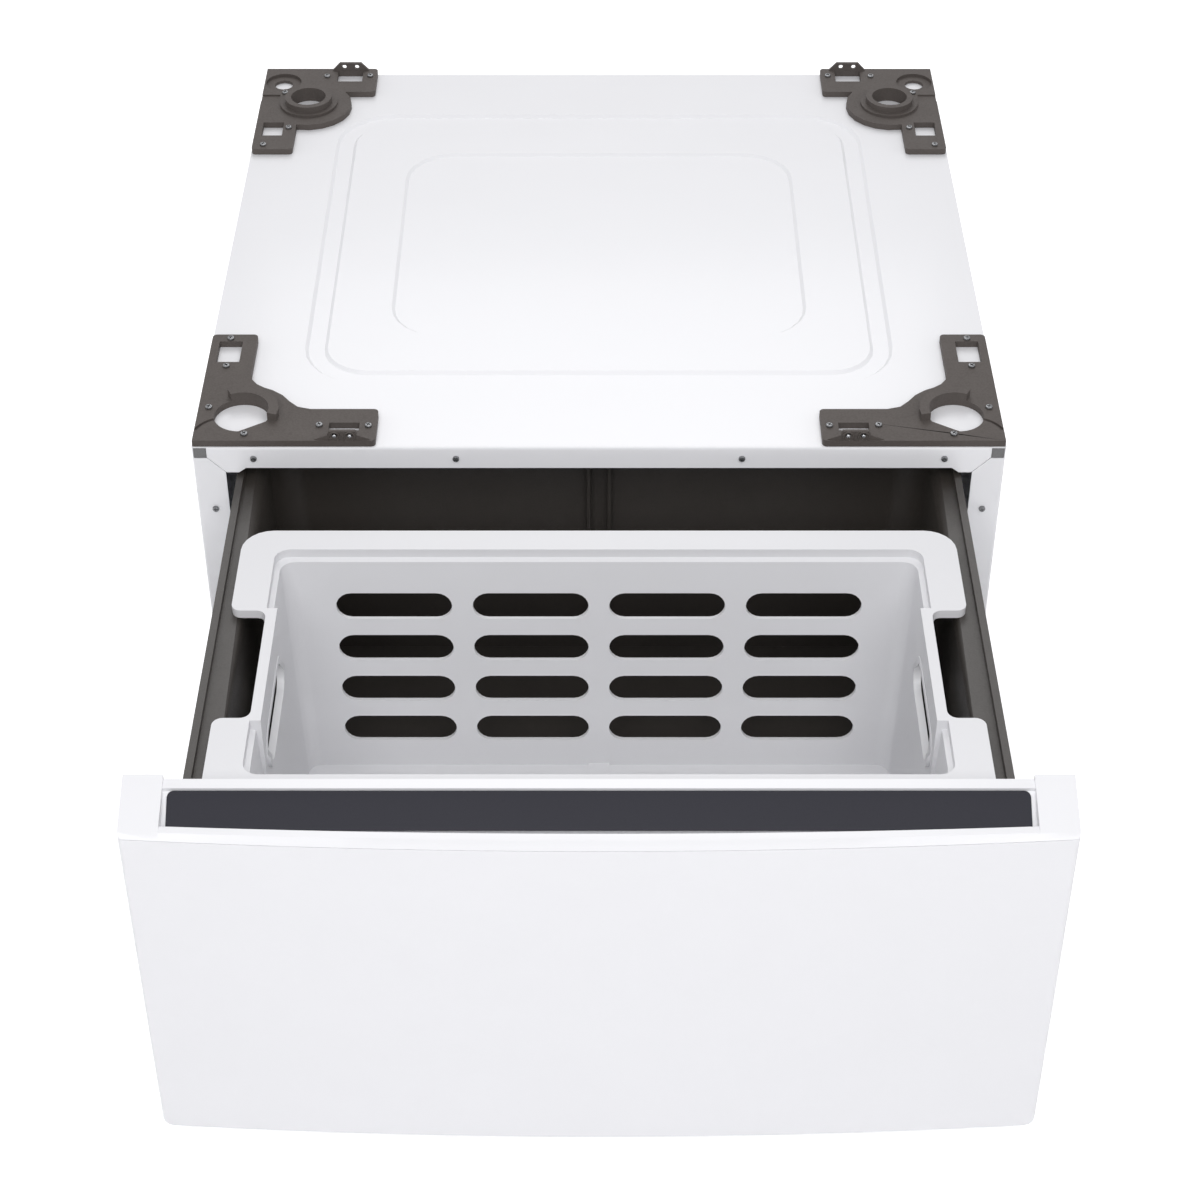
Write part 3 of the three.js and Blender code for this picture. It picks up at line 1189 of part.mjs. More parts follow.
function innerFront() {
  const half = SIDE - SKIN - SEAT;
  const low = FRONT_BOTTOM + SKIN + SEAT;
  const outline = polygon(roundedLoop(-half, half, low, CAP_SKIRT_BOTTOM - SEAT, FRONT_CORNER, 1));
  const foldHalf = half - FRONT_CORNER;
  return cut(
    join(sweep('y', outline, -STEEL, 0), block(-foldHalf, foldHalf, -INNER_FOLD, 0, low, low + STEEL)),
    ...BOSSES.map(([x, z]) => screwHole('y', x, z, -STEEL - 1, 1)),
  );
}

piece(drawer, 'inner_front', innerFront(), ZINC);

// The cap between the cheeks: ledge, bed of the strip, finger groove and lip, as one folded wall.
const STRIP_PITCH = STRIP_FALL / STRIP_RUN;
const STRIP_ANGLE = Math.atan(STRIP_PITCH);
const BED_DROP = (STRIP_SHEET + SEAT) / Math.cos(STRIP_ANGLE);

function capMiddle() {
  const bedEnd = LEDGE_TOP - BED_DROP - (STRIP_TOP_Y - GRIP_BACK_Y) * STRIP_PITCH;
  const path = [
    [0, CAP_SKIRT_BOTTOM], [0, LEDGE_TOP], [STRIP_TOP_Y, LEDGE_TOP], [STRIP_TOP_Y, LEDGE_TOP - BED_DROP],
    [GRIP_BACK_Y, bedEnd], [GRIP_BACK_Y, GRIP_FLOOR], [STRIP_END_Y, GRIP_FLOOR], [STRIP_END_Y, NOSE_Z],
    [-CHEEK_RUN, NOSE_Z], [-FRONT_DEPTH, SEAM_Z],
  ];
  const half = CHEEK_INNER + CAP_WALL / 2;
  const [lipBack, under] = [STRIP_END_Y - CAP_WALL, GRIP_FLOOR - CAP_WALL - 1];
  const seam = polygon([
    [-FRONT_DEPTH - 1, under], [lipBack, under], [lipBack, SEAM_Z], [-FRONT_DEPTH - 1, SEAM_Z],
  ]);
  return cut(bowed(folded(path, CAP_WALL), -half, half), bowed(seam, -SIDE, SIDE));
}

// A cheek is hollow from below; its inner wall also closes the end of the groove.
function capCheek() {
  const outer = polygon([
    [-CAP_WALL, CAP_SKIRT_BOTTOM], [0, CAP_SKIRT_BOTTOM], [0, CHEEK_TOP], [-CHEEK_RUN, NOSE_Z],
    [-FRONT_DEPTH, SEAM_Z], [-CAP_WALL, SEAM_Z],
  ]);
  const hollow = polygon([
    [-CAP_WALL, SEAM_Z - 1], [-CAP_WALL, CHEEK_TOP - CAP_WALL * 1.5], [-CHEEK_RUN, NOSE_Z - CAP_WALL],
    [CAP_WALL * 2 - FRONT_DEPTH, SEAM_Z - 1],
  ]);
  const under = GRIP_FLOOR - CAP_WALL;
  const wall = polygon([
    [GRIP_BACK_Y + CAP_WALL, under], [GRIP_BACK_Y + CAP_WALL, CAP_SKIRT_BOTTOM], [-CAP_WALL, CAP_SKIRT_BOTTOM],
    [-CAP_WALL, SEAM_Z + 1], [STRIP_END_Y - CAP_WALL, SEAM_Z + 1], [STRIP_END_Y - CAP_WALL, under],
  ]);
  const skinSide = SIDE - SKIN - SEAT;
  return join(
    cut(
      bowed(outer, CHEEK_INNER, SIDE), bowed(hollow, CHEEK_INNER + CAP_WALL, SIDE - CAP_WALL),
      block(skinSide, SIDE + 1, -FRONT_DEPTH, 1, CAP_SKIRT_BOTTOM - 1, SEAM_Z),
    ),
    bowed(wall, CHEEK_INNER, CHEEK_INNER + CAP_WALL),
  );
}

// The face's rounded ends go on up through the cap.
const frontCap = () => join(capMiddle(), capCheek(), mirrored(capCheek()))
  .intersect(sweep('z', frontPlan(0, 0), GRIP_FLOOR - CAP_WALL - 1, CHEEK_TOP + 1));

piece(drawer, 'front_cap', frontCap(), WHITE_PLASTIC);

function handleStrip() {
  const back = STRIP_SHEET * Math.sin(STRIP_ANGLE) + SEAT;
  const length = (STRIP_RUN - back) / Math.cos(STRIP_ANGLE);
  const half = CHEEK_INNER - STRIP_END_GAP;
  const outline = polygon(roundedLoop(-half, half, -length, 0, STRIP_SHEET / 4, STRIP_CORNER));
  const geometry = sweepGeometry('z', outline, -STRIP_SHEET, 0);
  geometry.rotateX(STRIP_ANGLE).translate(0, STRIP_TOP_Y - back, LEDGE_TOP - back * STRIP_PITCH);
  return toSolid(geometry);
}

piece(drawer, 'handle_strip', handleStrip(), GLOSS_PLASTIC);

const BUMPERS = {
  lower_bumper: FRONT_BOTTOM + BUMPER_INSET_Z,
  upper_bumper: CAP_SKIRT_BOTTOM - BUMPER_INSET_Z,
};

for (const [name, z] of Object.entries(BUMPERS)) {
  const x = SIDE - SIDE_FLANGE / 2;
  pair(drawer, name, disc('y', x, z, BUMPER_RADIUS, SEAT, CLOSED_GAP - SEAT, STUD_SIDES), RUBBER);
}

// ---------------------------------------------------------------------------------------------------
// Basket
// ---------------------------------------------------------------------------------------------------
const NOTCH_MIDDLE = (BASKET_FRONT + BASKET_REAR) / 2 + NOTCH_SHIFT;
const NOTCH_SIDE = MOUTH_SIDE - NOTCH_STEP;          // inside of the wall at a hand-hold

// The rim seen from above, stepping in at both hand-holds.
function rimLoop(inset) {
  const [x, y0, y1] = [BASKET_SIDE - inset, BASKET_FRONT + inset, BASKET_REAR - inset];
  const [n0, n1] = [-1, 1].map((way) => NOTCH_MIDDLE + way * (NOTCH_LENGTH / 2 + inset));
  const [corner, bend, notch] = [BASKET_RIM_CORNER - inset, NOTCH_CORNER, MOUTH_SIDE - inset];
  const right = [
    [x, y0, corner], [x, n0, bend], [notch, n0, bend], [notch, n1, bend], [x, n1, bend], [x, y1, corner],
  ];
  return rounded([...right, ...right.map(([a, b, radius]) => [-a, b, radius]).reverse()], RIM_STEPS);
}

function basketWalls(out, low, high, above) {
  const loop = (lean, step) => {
    const [side, end] = [BASKET_SIDE_DRAFT * lean + step, BASKET_END_DRAFT * lean + step];
    return roundedLoop(
      side - MOUTH_SIDE - out, MOUTH_SIDE + out - side,
      BASKET_FRONT + BASKET_END_RIM - out + end, BASKET_REAR - BASKET_END_RIM + out - end, BASKET_CORNER + out,
    );
  };
  const step = high - BASKET_STEP_DROP;
  return loft([
    { loop: loop(1, BASKET_STEP), z: low }, { loop: loop(0, BASKET_STEP), z: step },
    { loop: loop(0, 0), z: step + BASKET_STEP_RISE }, { loop: loop(0, 0), z: above },
  ]);
}

const bothSides = (solid) => [solid, mirrored(solid)];

function basket() {
  const floor = BASKET_BOTTOM + BASKET_WALL;
  const shelf = RIM_TOP - NOTCH_DEPTH;
  const rimPlate = RIM_TOP - BASKET_WALL;
  const notch = (grow, side, low) => block(
    side, BASKET_SIDE, NOTCH_MIDDLE - NOTCH_LENGTH / 2 - grow, NOTCH_MIDDLE + NOTCH_LENGTH / 2 + grow,
    low, RIM_TOP + 2,
  );
  const outside = cut(
    basketWalls(BASKET_WALL, BASKET_BOTTOM, rimPlate, RIM_TOP - NEAR),
    ...bothSides(notch(0, NOTCH_SIDE + BASKET_WALL, shelf)),
  );
  const inside = cut(
    basketWalls(0, floor, RIM_TOP, RIM_TOP + 1),
    ...bothSides(notch(BASKET_WALL, NOTCH_SIDE, shelf - BASKET_WALL)),
  );
  const rim = cut(
    sweep('z', polygon(rimLoop(0)), RIM_BOTTOM, RIM_TOP),
    sweep('z', polygon(rimLoop(BASKET_WALL)), RIM_BOTTOM - 1, rimPlate),
  );
  const handHold = (grow, from, to) => sweep('x', stadium(
    NOTCH_MIDDLE, RIM_TOP - HAND_SLOT_DROP, HAND_SLOT_LENGTH + grow * 2, HAND_SLOT_HEIGHT + grow * 2,
  ), from, to, 1, VENT_STEPS);
  const handLip = handHold(HAND_LIP_WIDTH, NOTCH_SIDE - HAND_LIP_REACH, NOTCH_SIDE + BASKET_WALL / 2);
  const shell = join(cut(join(outside, rim), inside), ...bothSides(handLip));
  const endRoom = BASKET_END_RIM - BASKET_WALL - 1;
  const wallReach = BASKET_END_RIM + BASKET_END_DRAFT + BASKET_STEP;
  const ends = [
    [BASKET_FRONT + endRoom, BASKET_FRONT + wallReach + 1],
    [BASKET_REAR - wallReach - 1, BASKET_REAR - endRoom],
  ];
  const vents = ends.flatMap(([from, to]) => Array.from({ length: VENT_COLUMNS * VENT_ROWS }, (_, i) => {
    const x = ((i % VENT_COLUMNS) - (VENT_COLUMNS - 1) / 2) * VENT_PITCH_X;
    const z = RIM_TOP - VENT_TOP_DROP - Math.floor(i / VENT_COLUMNS) * VENT_PITCH_Z;
    return sweep('y', stadium(x, z, VENT_LENGTH, VENT_HEIGHT), from, to, 1, VENT_STEPS);
  }));
  const handSlot = handHold(0, NOTCH_SIDE - HAND_LIP_REACH - 1, NOTCH_SIDE + BASKET_WALL + 1);
  const rib = block(
    -FLOOR_RIB_WIDTH / 2, FLOOR_RIB_WIDTH / 2, BASKET_FRONT + wallReach - 1, BASKET_REAR - wallReach + 1,
    floor - 1, floor + FLOOR_RIB_HEIGHT,
  );
  return cut(join(shell, rib), ...vents, ...bothSides(handSlot));
}

const liftOut = subassembly(drawer.position.y);
piece(liftOut, 'basket', basket(), WHITE_PLASTIC);

// The origin is on the floor, under the middle of the pedestal with its drawer open.
const frontReach = DRAWER_TRAVEL + CLOSED_GAP + FRONT_DEPTH + FRONT_BOW;
pedestal.position.y = (frontReach - CABINET_DEPTH) / 2;

export default pedestal;
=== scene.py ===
# %% [markdown]
# # A washer pedestal with a storage drawer
#
# The pedestal is a low sheet-steel box that lifts a front-loading laundry machine to a handy height.
# Its drawer is pulled out here, with a dark moulded tub and a white slotted basket inside it.
# The shape comes from a packed CAD model, which stays where it is. This lesson gives it what a camera
# sees: softened edges, screws, and a finish for each of its materials.

import json
import math

import bpy
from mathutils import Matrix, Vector


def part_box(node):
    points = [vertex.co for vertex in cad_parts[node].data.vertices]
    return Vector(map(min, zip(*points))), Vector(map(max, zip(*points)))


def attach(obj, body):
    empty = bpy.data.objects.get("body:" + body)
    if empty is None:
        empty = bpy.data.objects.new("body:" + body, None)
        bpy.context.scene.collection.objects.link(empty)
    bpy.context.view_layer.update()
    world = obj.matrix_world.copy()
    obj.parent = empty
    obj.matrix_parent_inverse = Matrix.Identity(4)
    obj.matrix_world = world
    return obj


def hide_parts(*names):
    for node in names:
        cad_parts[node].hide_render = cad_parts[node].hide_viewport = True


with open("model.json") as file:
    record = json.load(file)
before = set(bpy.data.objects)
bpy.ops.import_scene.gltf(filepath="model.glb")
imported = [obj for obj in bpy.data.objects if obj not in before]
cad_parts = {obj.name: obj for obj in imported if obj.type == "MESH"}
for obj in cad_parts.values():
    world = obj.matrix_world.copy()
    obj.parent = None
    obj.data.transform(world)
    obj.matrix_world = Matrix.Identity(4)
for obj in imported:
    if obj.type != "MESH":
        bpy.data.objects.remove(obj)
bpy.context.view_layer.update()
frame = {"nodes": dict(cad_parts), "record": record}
bodies = frame["record"]["behaviour"]["bodies"]
body_of = {node: body for body, nodes in bodies.items() for node in nodes}
slot_of = {part["node"]: part["material_slot"] for part in frame["record"]["subparts"]}
MM = 0.001
SIDES = {"right": 1, "left": -1}   # which way each side lies along X
print("CAD nodes:", len(body_of), "bodies:", len(bodies))

# %% [markdown]
# ## The camera
#
# The picture was taken from in front and well above, through a long lens, so the upright edges lean
# together only a little. A long lens is set as a focal length on a 36 mm wide sensor. A wider lens
# from nearer by would show the same pedestal with steeper lines, and nothing would line up.

# %% Camera
CAMERA_PLACE = (0.0, -1.870, 1.652)
CAMERA_TILT = 50.5                 # degrees up from looking straight down
SENSOR_WIDTH = 36.0                # both in millimetres
FOCAL_LENGTH = 78.3
LENS_SHIFT = 0.0009                # a share of the picture's width, about one pixel
scene = bpy.context.scene
lens = bpy.data.cameras.new("camera")
lens.sensor_width = SENSOR_WIDTH
lens.lens = FOCAL_LENGTH
lens.shift_x = LENS_SHIFT
camera = bpy.data.objects.new("camera", lens)
camera.location = CAMERA_PLACE
camera.rotation_euler = (math.radians(CAMERA_TILT), 0, 0)
scene.collection.objects.link(camera)
scene.camera = camera
scene.view_settings.view_transform = "Standard"
print("camera at", CAMERA_PLACE)

# %% [markdown]
# ## Arithmetic on shader sockets
#
# A procedural finish is a sum of patterns. Python can write that sum as it is read: this class holds
# one output of a node, and each operator on it adds the Math node that does the same. The reflected
# forms let a plain number stand first, as in `1 - mask`.

# %% A socket that can be added and multiplied
class Wire:
    def __init__(self, nodes, socket):
        self.nodes, self.socket = nodes, socket

    def _math(self, operation, *values):
        sockets = dict(enumerate(values))
        return self.nodes.node("ShaderNodeMath", {"operation": operation}, sockets)["Value"]

    def __add__(self, other):
        return self._math("ADD", self, other)

    def __sub__(self, other):
        return self._math("SUBTRACT", self, other)

    def __rsub__(self, other):
        return self._math("SUBTRACT", other, self)

    def __mul__(self, other):
        return self._math("MULTIPLY", self, other)

    __radd__, __rmul__ = __add__, __mul__


# %% [markdown]
# ## One method for every other node
#
# A node is described by its type, by settings that must be made first, such as a Math node's operation,
# and by the values or links of its sockets. The method gives back the node's outputs by name. It
# serves the materials and the world alike, since both are trees of nodes.

# %% A tree of nodes
class Nodes:
    def __init__(self, owner):
        owner.use_nodes = True
        self.tree = owner.node_tree
        self.tree.nodes.clear()

    def _input(self, made, key):
        """A Math node's inputs go by number, all others by identifier or name."""
        if isinstance(key, int):
            return made.inputs[key]
        return next(s for s in made.inputs if s.enabled and key in (s.identifier, s.name))

    def node(self, kind, settings=None, sockets=None):
        made = self.tree.nodes.new(kind)
        for key, value in (settings or {}).items():
            setattr(made, key, value)
        for key, value in (sockets or {}).items():
            where = self._input(made, key)
            if isinstance(value, Wire):
                self.tree.links.new(value.socket, where)
            else:
                where.default_value = value
        return {s.name: Wire(self, s) for s in made.outputs if s.enabled}

    def seen(self):
        """1 where a camera ray or a reflection arrives, and 0 for the light that falls on things."""
        ray = self.node("ShaderNodeLightPath")
        rays = {0: ray["Is Camera Ray"], 1: ray["Is Glossy Ray"]}
        return self.node("ShaderNodeMath", {"operation": "MAXIMUM"}, rays)["Value"]


# %% [markdown]
# ## A finish
#
# A finish is a material that reads the piece's own coordinates, in metres, so that a pattern keeps its
# real size on every piece and moves with it. Three patterns come back in nearly all of them: a noise,
# a blend of two colours, and a bump whose depth is given as a real depth.

# %% What every finish can do
class Finish(Nodes):
    def __init__(self, name):
        self.material = bpy.data.materials.new(name)
        super().__init__(self.material)
        self.place = self.node("ShaderNodeTexCoord")["Object"]

    def noise(self, per_metre, detail=2.0, roughness=0.5, place=None):
        return self.node("ShaderNodeTexNoise", None, {
            "Vector": place or self.place, "Scale": per_metre, "Detail": detail, "Roughness": roughness,
        })["Fac"]

    def cells(self, per_metre, output):
        return self.node("ShaderNodeTexVoronoi", None, {
            "Vector": self.place, "Scale": per_metre,
        })[output]

    def blend(self, factor, first, second):
        return self.node("ShaderNodeMix", {"data_type": "RGBA"}, {
            "Factor_Float": factor, "A_Color": first, "B_Color": second,
        })["Result"]

    def bump(self, height, depth, under=None):
        sockets = {"Height": height, "Distance": depth, "Strength": 1.0}
        if under:
            sockets["Normal"] = under
        return self.node("ShaderNodeBump", None, sockets)["Normal"]

    def done(self, **sockets):
        named = {key.replace("_", " "): value for key, value in sockets.items()}
        shader = self.node("ShaderNodeBsdfPrincipled", None, named)["BSDF"]
        self.node("ShaderNodeOutputMaterial", None, {"Surface": shader})
        return self.material


def grey(value, tint=(1.0, 1.0, 1.0)):
    return (*[value * part for part in tint], 1.0)


print("a finish can use:", ", ".join(name for name in vars(Finish) if name[0] != "_"))

# %% [markdown]
# ## White baked enamel
#
# The cabinet and the drawer's skin are painted sheet steel. Baked enamel is nearly smooth: it has a
# fine orange peel a few millimetres across, and the thin sheet under it is never quite flat, which
# only shows in how reflections drift. Both are bumps of a few tenths of a millimetre at most. Patterns
# in space need no unwrapping and run on from panel to panel. The white leans a little to blue.

# %% Enamel
COOL = (0.985, 0.985, 1.01)


def enamel(name, white):
    finish = Finish(name)
    peel = finish.noise(per_metre=260.0)
    drift = finish.noise(per_metre=5.0, detail=1.0)
    cloud = finish.noise(per_metre=11.0, detail=3.0)
    wavy = finish.bump(drift, 0.35 * MM)
    return finish.done(
        Base_Color=finish.blend(cloud, grey(white * 0.985, COOL), grey(white * 1.01, COOL)),
        Roughness=0.30 + 0.08 * cloud,
        Normal=finish.bump(peel, 0.035 * MM, wavy),
        Coat_Weight=0.25, Coat_Roughness=0.12,
    )


white_paint = enamel("white_enamel", white=0.87)
print("made", white_paint.name)

# %% [markdown]
# ## White mouldings
#
# The drawer's cap is a glossy white moulding made to match the paint. The basket is a plainer and
# slightly greyer plastic with a satin skin. Both have the very fine grain of a spark-eroded mould,
# and faint clouds where the plastic flowed. One recipe makes both, since only its numbers differ.

# %% White plastics
def moulding(name, light, roughness, grain):
    finish = Finish(name)
    speck = finish.noise(per_metre=1500.0, roughness=0.7)
    cloud = finish.noise(per_metre=9.0, detail=3.0)
    return finish.done(
        Base_Color=finish.blend(cloud, grey(light * 0.98, COOL), grey(light * 1.015, COOL)),
        Roughness=roughness - 0.04 + 0.08 * speck,
        Normal=finish.bump(speck, grain * MM),
    )


cap_plastic = moulding("cap_moulding", light=0.86, roughness=0.30, grain=0.012)
basket_plastic = moulding("basket_moulding", light=0.77, roughness=0.42, grain=0.02)
print("made", cap_plastic.name, basket_plastic.name)

# %% [markdown]
# ## Dark mouldings
#
# The tub and the corner brackets are dark plastics with a leathery grain pressed in by the mould, so
# that scratches don't show. A cell pattern makes the pebbles, a finer noise breaks them up, and the
# tops of the pebbles are rubbed a little smoother and lighter than the valleys. The grain is far too
# fine to model, so it is a bump.

# %% Grained dark plastics
WARM = (1.15, 0.98, 0.84)
TAUPE = (1.13, 0.98, 0.90)
NEUTRAL = (1.0, 1.0, 1.0)


def grained(name, light, tint, pebbles, depth, roughness, sheen):
    """pebbles counts them along a metre, and depth is the grain's, in millimetres."""
    finish = Finish(name)
    cells = finish.node("ShaderNodeTexVoronoi", {"feature": "SMOOTH_F1"}, {
        "Vector": finish.place, "Scale": pebbles, "Smoothness": 0.6,
    })["Distance"]
    dust = finish.noise(per_metre=70.0, detail=4.0, roughness=0.6)
    fine = finish.noise(per_metre=pebbles * 3.1)
    tone = 0.45 * cells + 0.55 * dust
    return finish.done(
        Base_Color=finish.blend(tone, grey(light * 1.14, tint), grey(light * 0.84, tint)),
        Roughness=roughness + 0.14 * cells + 0.06 * dust,
        Specular_IOR_Level=sheen,
        Normal=finish.bump(0.35 * fine - cells, depth * MM),
    )


tub_plastic = grained(
    "tub_moulding", light=0.030, tint=WARM, pebbles=850.0, depth=0.035, roughness=0.36, sheen=0.68)
bracket_plastic = grained(
    "bracket_moulding", light=0.084, tint=TAUPE, pebbles=620.0, depth=0.05, roughness=0.46, sheen=0.22)
plug_plastic = grained(
    "plug_moulding", light=0.175, tint=NEUTRAL, pebbles=700.0, depth=0.03, roughness=0.5, sheen=0.5)
print("made", tub_plastic.name, bracket_plastic.name, plug_plastic.name)

# %% [markdown]
# ## The glossy strip
#
# The strip behind the finger groove is a dark blue-grey and polished. Under the clear surface lies a
# very fine metal flake, smaller than the eye can part, so small cells shift its colour by very little.

# %% Strip
INK = (0.88, 0.88, 1.23)


def flaked(name):
    finish = Finish(name)
    flake = finish.cells(2600.0, "Distance")
    haze = finish.noise(per_metre=6.0)
    return finish.done(
        Base_Color=finish.blend(flake, grey(0.028, INK), grey(0.022, INK)),
        Roughness=0.22 + 0.05 * haze,
        Specular_IOR_Level=0.12,
        Normal=finish.bump(haze, 0.10 * MM),
    )


strip_gloss = flaked("flaked_strip")
print("made", strip_gloss.name)

# %% [markdown]
# ## Zinc-plated steel and bearing steel
#
# The slides, cross members and screws are zinc plated. Zinc freezes in flat crystals, each with its
# own shade, and handling leaves fine lines along the sheet. Each crystal is one cell of a Voronoi
# pattern, and the lines are a noise that is drawn out along Y, the way in which the drawer runs.
# Balls are ground bright, with crystals too small to see.

# %% Metals
def zinc(name, crystals, dark, light):
    """crystals counts them along a metre."""
    finish = Finish(name)
    shade = finish.node("ShaderNodeSeparateColor", None, {"Color": finish.cells(crystals, "Color")})["Red"]
    drawn_out = finish.node("ShaderNodeMapping", None, {
        "Vector": finish.place, "Scale": (1.0, 0.04, 1.0),
    })["Vector"]
    lines = finish.noise(per_metre=900.0, place=drawn_out)
    return finish.done(
        Base_Color=finish.blend(shade, grey(dark, (0.98, 1.0, 1.03)), grey(light, (0.99, 1.0, 1.02))),
        Metallic=1.0,
        Roughness=0.30 + 0.10 * shade + 0.10 * lines,
        Normal=finish.bump(lines, 0.01 * MM),
    )


zinc_sheet = zinc("zinc_sheet", crystals=190.0, dark=0.50, light=0.66)
zinc_screws = zinc("zinc_screws", crystals=700.0, dark=0.18, light=0.29)
bearing_steel = zinc("ground_steel", crystals=1500.0, dark=0.62, light=0.72)
print("made", zinc_sheet.name, zinc_screws.name, bearing_steel.name)

# %% [markdown]
# ## Rubber
#
# Feet and bumpers are black rubber. With time a dusty bloom comes to the surface in patches, paler
# and duller than the rubber, and the skin is full of tiny pits.

# %% Rubber
def bloomed_rubber(name):
    finish = Finish(name)
    bloom = finish.noise(per_metre=160.0, detail=4.0, roughness=0.65)
    pits = finish.noise(per_metre=1400.0)
    return finish.done(
        Base_Color=finish.blend(bloom, grey(0.018), grey(0.042)),
        Roughness=0.72 + 0.16 * bloom,
        Normal=finish.bump(pits, 0.03 * MM),
    )


rubber = bloomed_rubber("black_rubber")
print("made", rubber.name)

# %% [markdown]
# ## A finish for every slot
#
# The CAD model names a material slot for each node. This list says which finish fills which slot, and
# every node gets its own, also the hidden ones that need no other work.

# %% Dressing the CAD nodes
FINISHES = {
    "white_paint": white_paint,
    "cap_plastic": cap_plastic,
    "basket_plastic": basket_plastic,
    "tub_plastic": tub_plastic,
    "bracket_plastic": bracket_plastic,
    "plug_plastic": plug_plastic,
    "strip_gloss": strip_gloss,
    "zinc_steel": zinc_sheet,
    "zinc_hardware": zinc_screws,
    "bearing_steel": bearing_steel,
    "rubber": rubber,
}


def dress(thing, slot):
    thing.data.materials.clear()
    thing.data.materials.append(FINISHES[slot])


for node, thing in frame["nodes"].items():
    dress(thing, slot_of[node])
print("finishes:", len(FINISHES))

# %% [markdown]
# ## Working on one piece at a time
#
# Operators act on whatever is selected, so each step first lets go of everything and takes up its
# own piece. Corners, edges and faces are picked the same way, by a test on their place. A finished
# piece then rides on its body, takes its slot, and may stand for a CAD node.

# %% Selecting
def only(*things):
    if bpy.context.mode != "OBJECT":
        bpy.ops.object.mode_set(mode="OBJECT")
    bpy.ops.object.select_all(action="DESELECT")
    for thing in things:
        thing.select_set(True)
    bpy.context.view_layer.objects.active = things[0]


def pick(thing, kind, test):
    """Goes into edit mode with the corners, edges or faces selected that pass a test, and counts them."""
    only(thing)
    bpy.ops.object.mode_set(mode="EDIT")
    bpy.ops.mesh.select_mode(type=kind)
    bpy.ops.mesh.select_all(action="DESELECT")
    bpy.ops.object.mode_set(mode="OBJECT")
    mesh = thing.data
    parts = {"VERT": mesh.vertices, "EDGE": mesh.edges, "FACE": mesh.polygons}[kind]
    for part in parts:
        part.select = test(part)
    count = sum(part.select for part in parts)
    bpy.ops.object.mode_set(mode="EDIT")
    return count


# %% Joining, settling and handing over
def joined(things, name):
    only(*things)
    if len(things) > 1:
        bpy.ops.object.join()
    things[0].name = name
    return things[0]


def settle(thing):
    """Puts a piece's place into its mesh and leaves its object at the origin."""
    only(thing)
    bpy.ops.object.transform_apply(location=True, rotation=True, scale=True)
    return thing


def hand_over(thing, body, slot, *stands_for):
    settle(thing)
    dress(thing, slot)
    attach(thing, body)
    if stands_for:
        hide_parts(*stands_for)


# %% [markdown]
# ## Softening the edges of a CAD piece
#
# Real sheet and real mouldings have no knife edges: a bend or a mould leaves a small radius that
# catches the light, and that thin bright line is what makes a piece look solid. A CAD node arrives as
# loose triangles. A copy of it is merged, its flat faces are joined, and a bevel rounds each edge
# where two faces meet at more than a slight angle. The copy then stands for the node. Normals that
# are weighted by the size of the faces keep the large flats flat right up to the narrow bevels.

# %% Merged copies and soft edges
MERGE = 0.005                      # corners closer than this are one, in millimetres
FLAT = math.radians(0.08)          # faces closer to one plane than this are joined
CREASE = math.radians(28)          # edges sharper than this are rounded
ROUNDING_STEPS = 2


def merged_copy(node):
    source = frame["nodes"][node]
    thing = bpy.data.objects.new(f"{node}_piece", source.data.copy())
    scene.collection.objects.link(thing)
    only(thing)
    bpy.ops.mesh.customdata_custom_splitnormals_clear()
    bpy.ops.object.mode_set(mode="EDIT")
    bpy.ops.mesh.select_all(action="SELECT")
    bpy.ops.mesh.remove_doubles(threshold=MERGE * MM)
    bpy.ops.mesh.dissolve_limited(angle_limit=FLAT)
    bpy.ops.object.mode_set(mode="OBJECT")
    return thing


def soften(thing, radius):
    only(thing)
    bevel = thing.modifiers.new("soft edges", "BEVEL")
    bevel.width = radius * MM
    bevel.segments = ROUNDING_STEPS
    bevel.limit_method = "ANGLE"
    bevel.angle_limit = CREASE
    bpy.ops.object.modifier_apply(modifier=bevel.name)
    bpy.ops.object.shade_smooth_by_angle(angle=CREASE)
    level = thing.modifiers.new("flat stays flat", "WEIGHTED_NORMAL")
    level.keep_sharp = True
    bpy.ops.object.modifier_apply(modifier=level.name)
    return thing


# %% Radii of the edges, in millimetres
SOFT_RADII = {
    "top_panel": 0.5, "back_panel": 0.5, "front_skin": 0.9, "front_cap": 0.8, "tub": 0.9,
    "basket": 1.1, "handle_strip": 0.5, "inner_front": 0.4, "front_base_rail": 0.5,
    "rear_base_rail": 0.5, "front_deck_brace": 0.4, "rear_deck_brace": 0.4,
}
PAIRED_RADII = {
    "front_corner_bracket": 0.8, "rear_corner_bracket": 0.8, "side_panel": 0.5, "corner_plug": 0.4,
    "front_foot": 0.8, "rear_foot": 0.8, "front_lock_nut": 0.5, "rear_lock_nut": 0.5,
    "slide_bracket": 0.4, "slide_fixed_member": 0.35, "slide_middle_member": 0.35,
    "slide_drawer_member": 0.35, "tub_rail": 0.4, "lower_bumper": 0.5, "upper_bumper": 0.5,
}
for name, radius in PAIRED_RADII.items():
    SOFT_RADII |= {f"{side}_{name}": radius for side in SIDES}
pieces = {node: merged_copy(node) for node in SOFT_RADII}
print("copied", len(pieces), "nodes")

# %% [markdown]
# ## Small corrections before the edges are rounded
#
# Three small forms of the model are a few millimetres off the photograph. The basket's rear lip is
# narrower there, the upper edge of each hand-hold is flush with the wall, and the clip on each front
# bracket stands nearer to the front, with the window behind it. On a merged copy this is a matter of
# taking hold of the corners inside a box and moving them, as one would by hand.

# %% Moving corners
FAR = 1000.0                       # further off than any corner, in millimetres


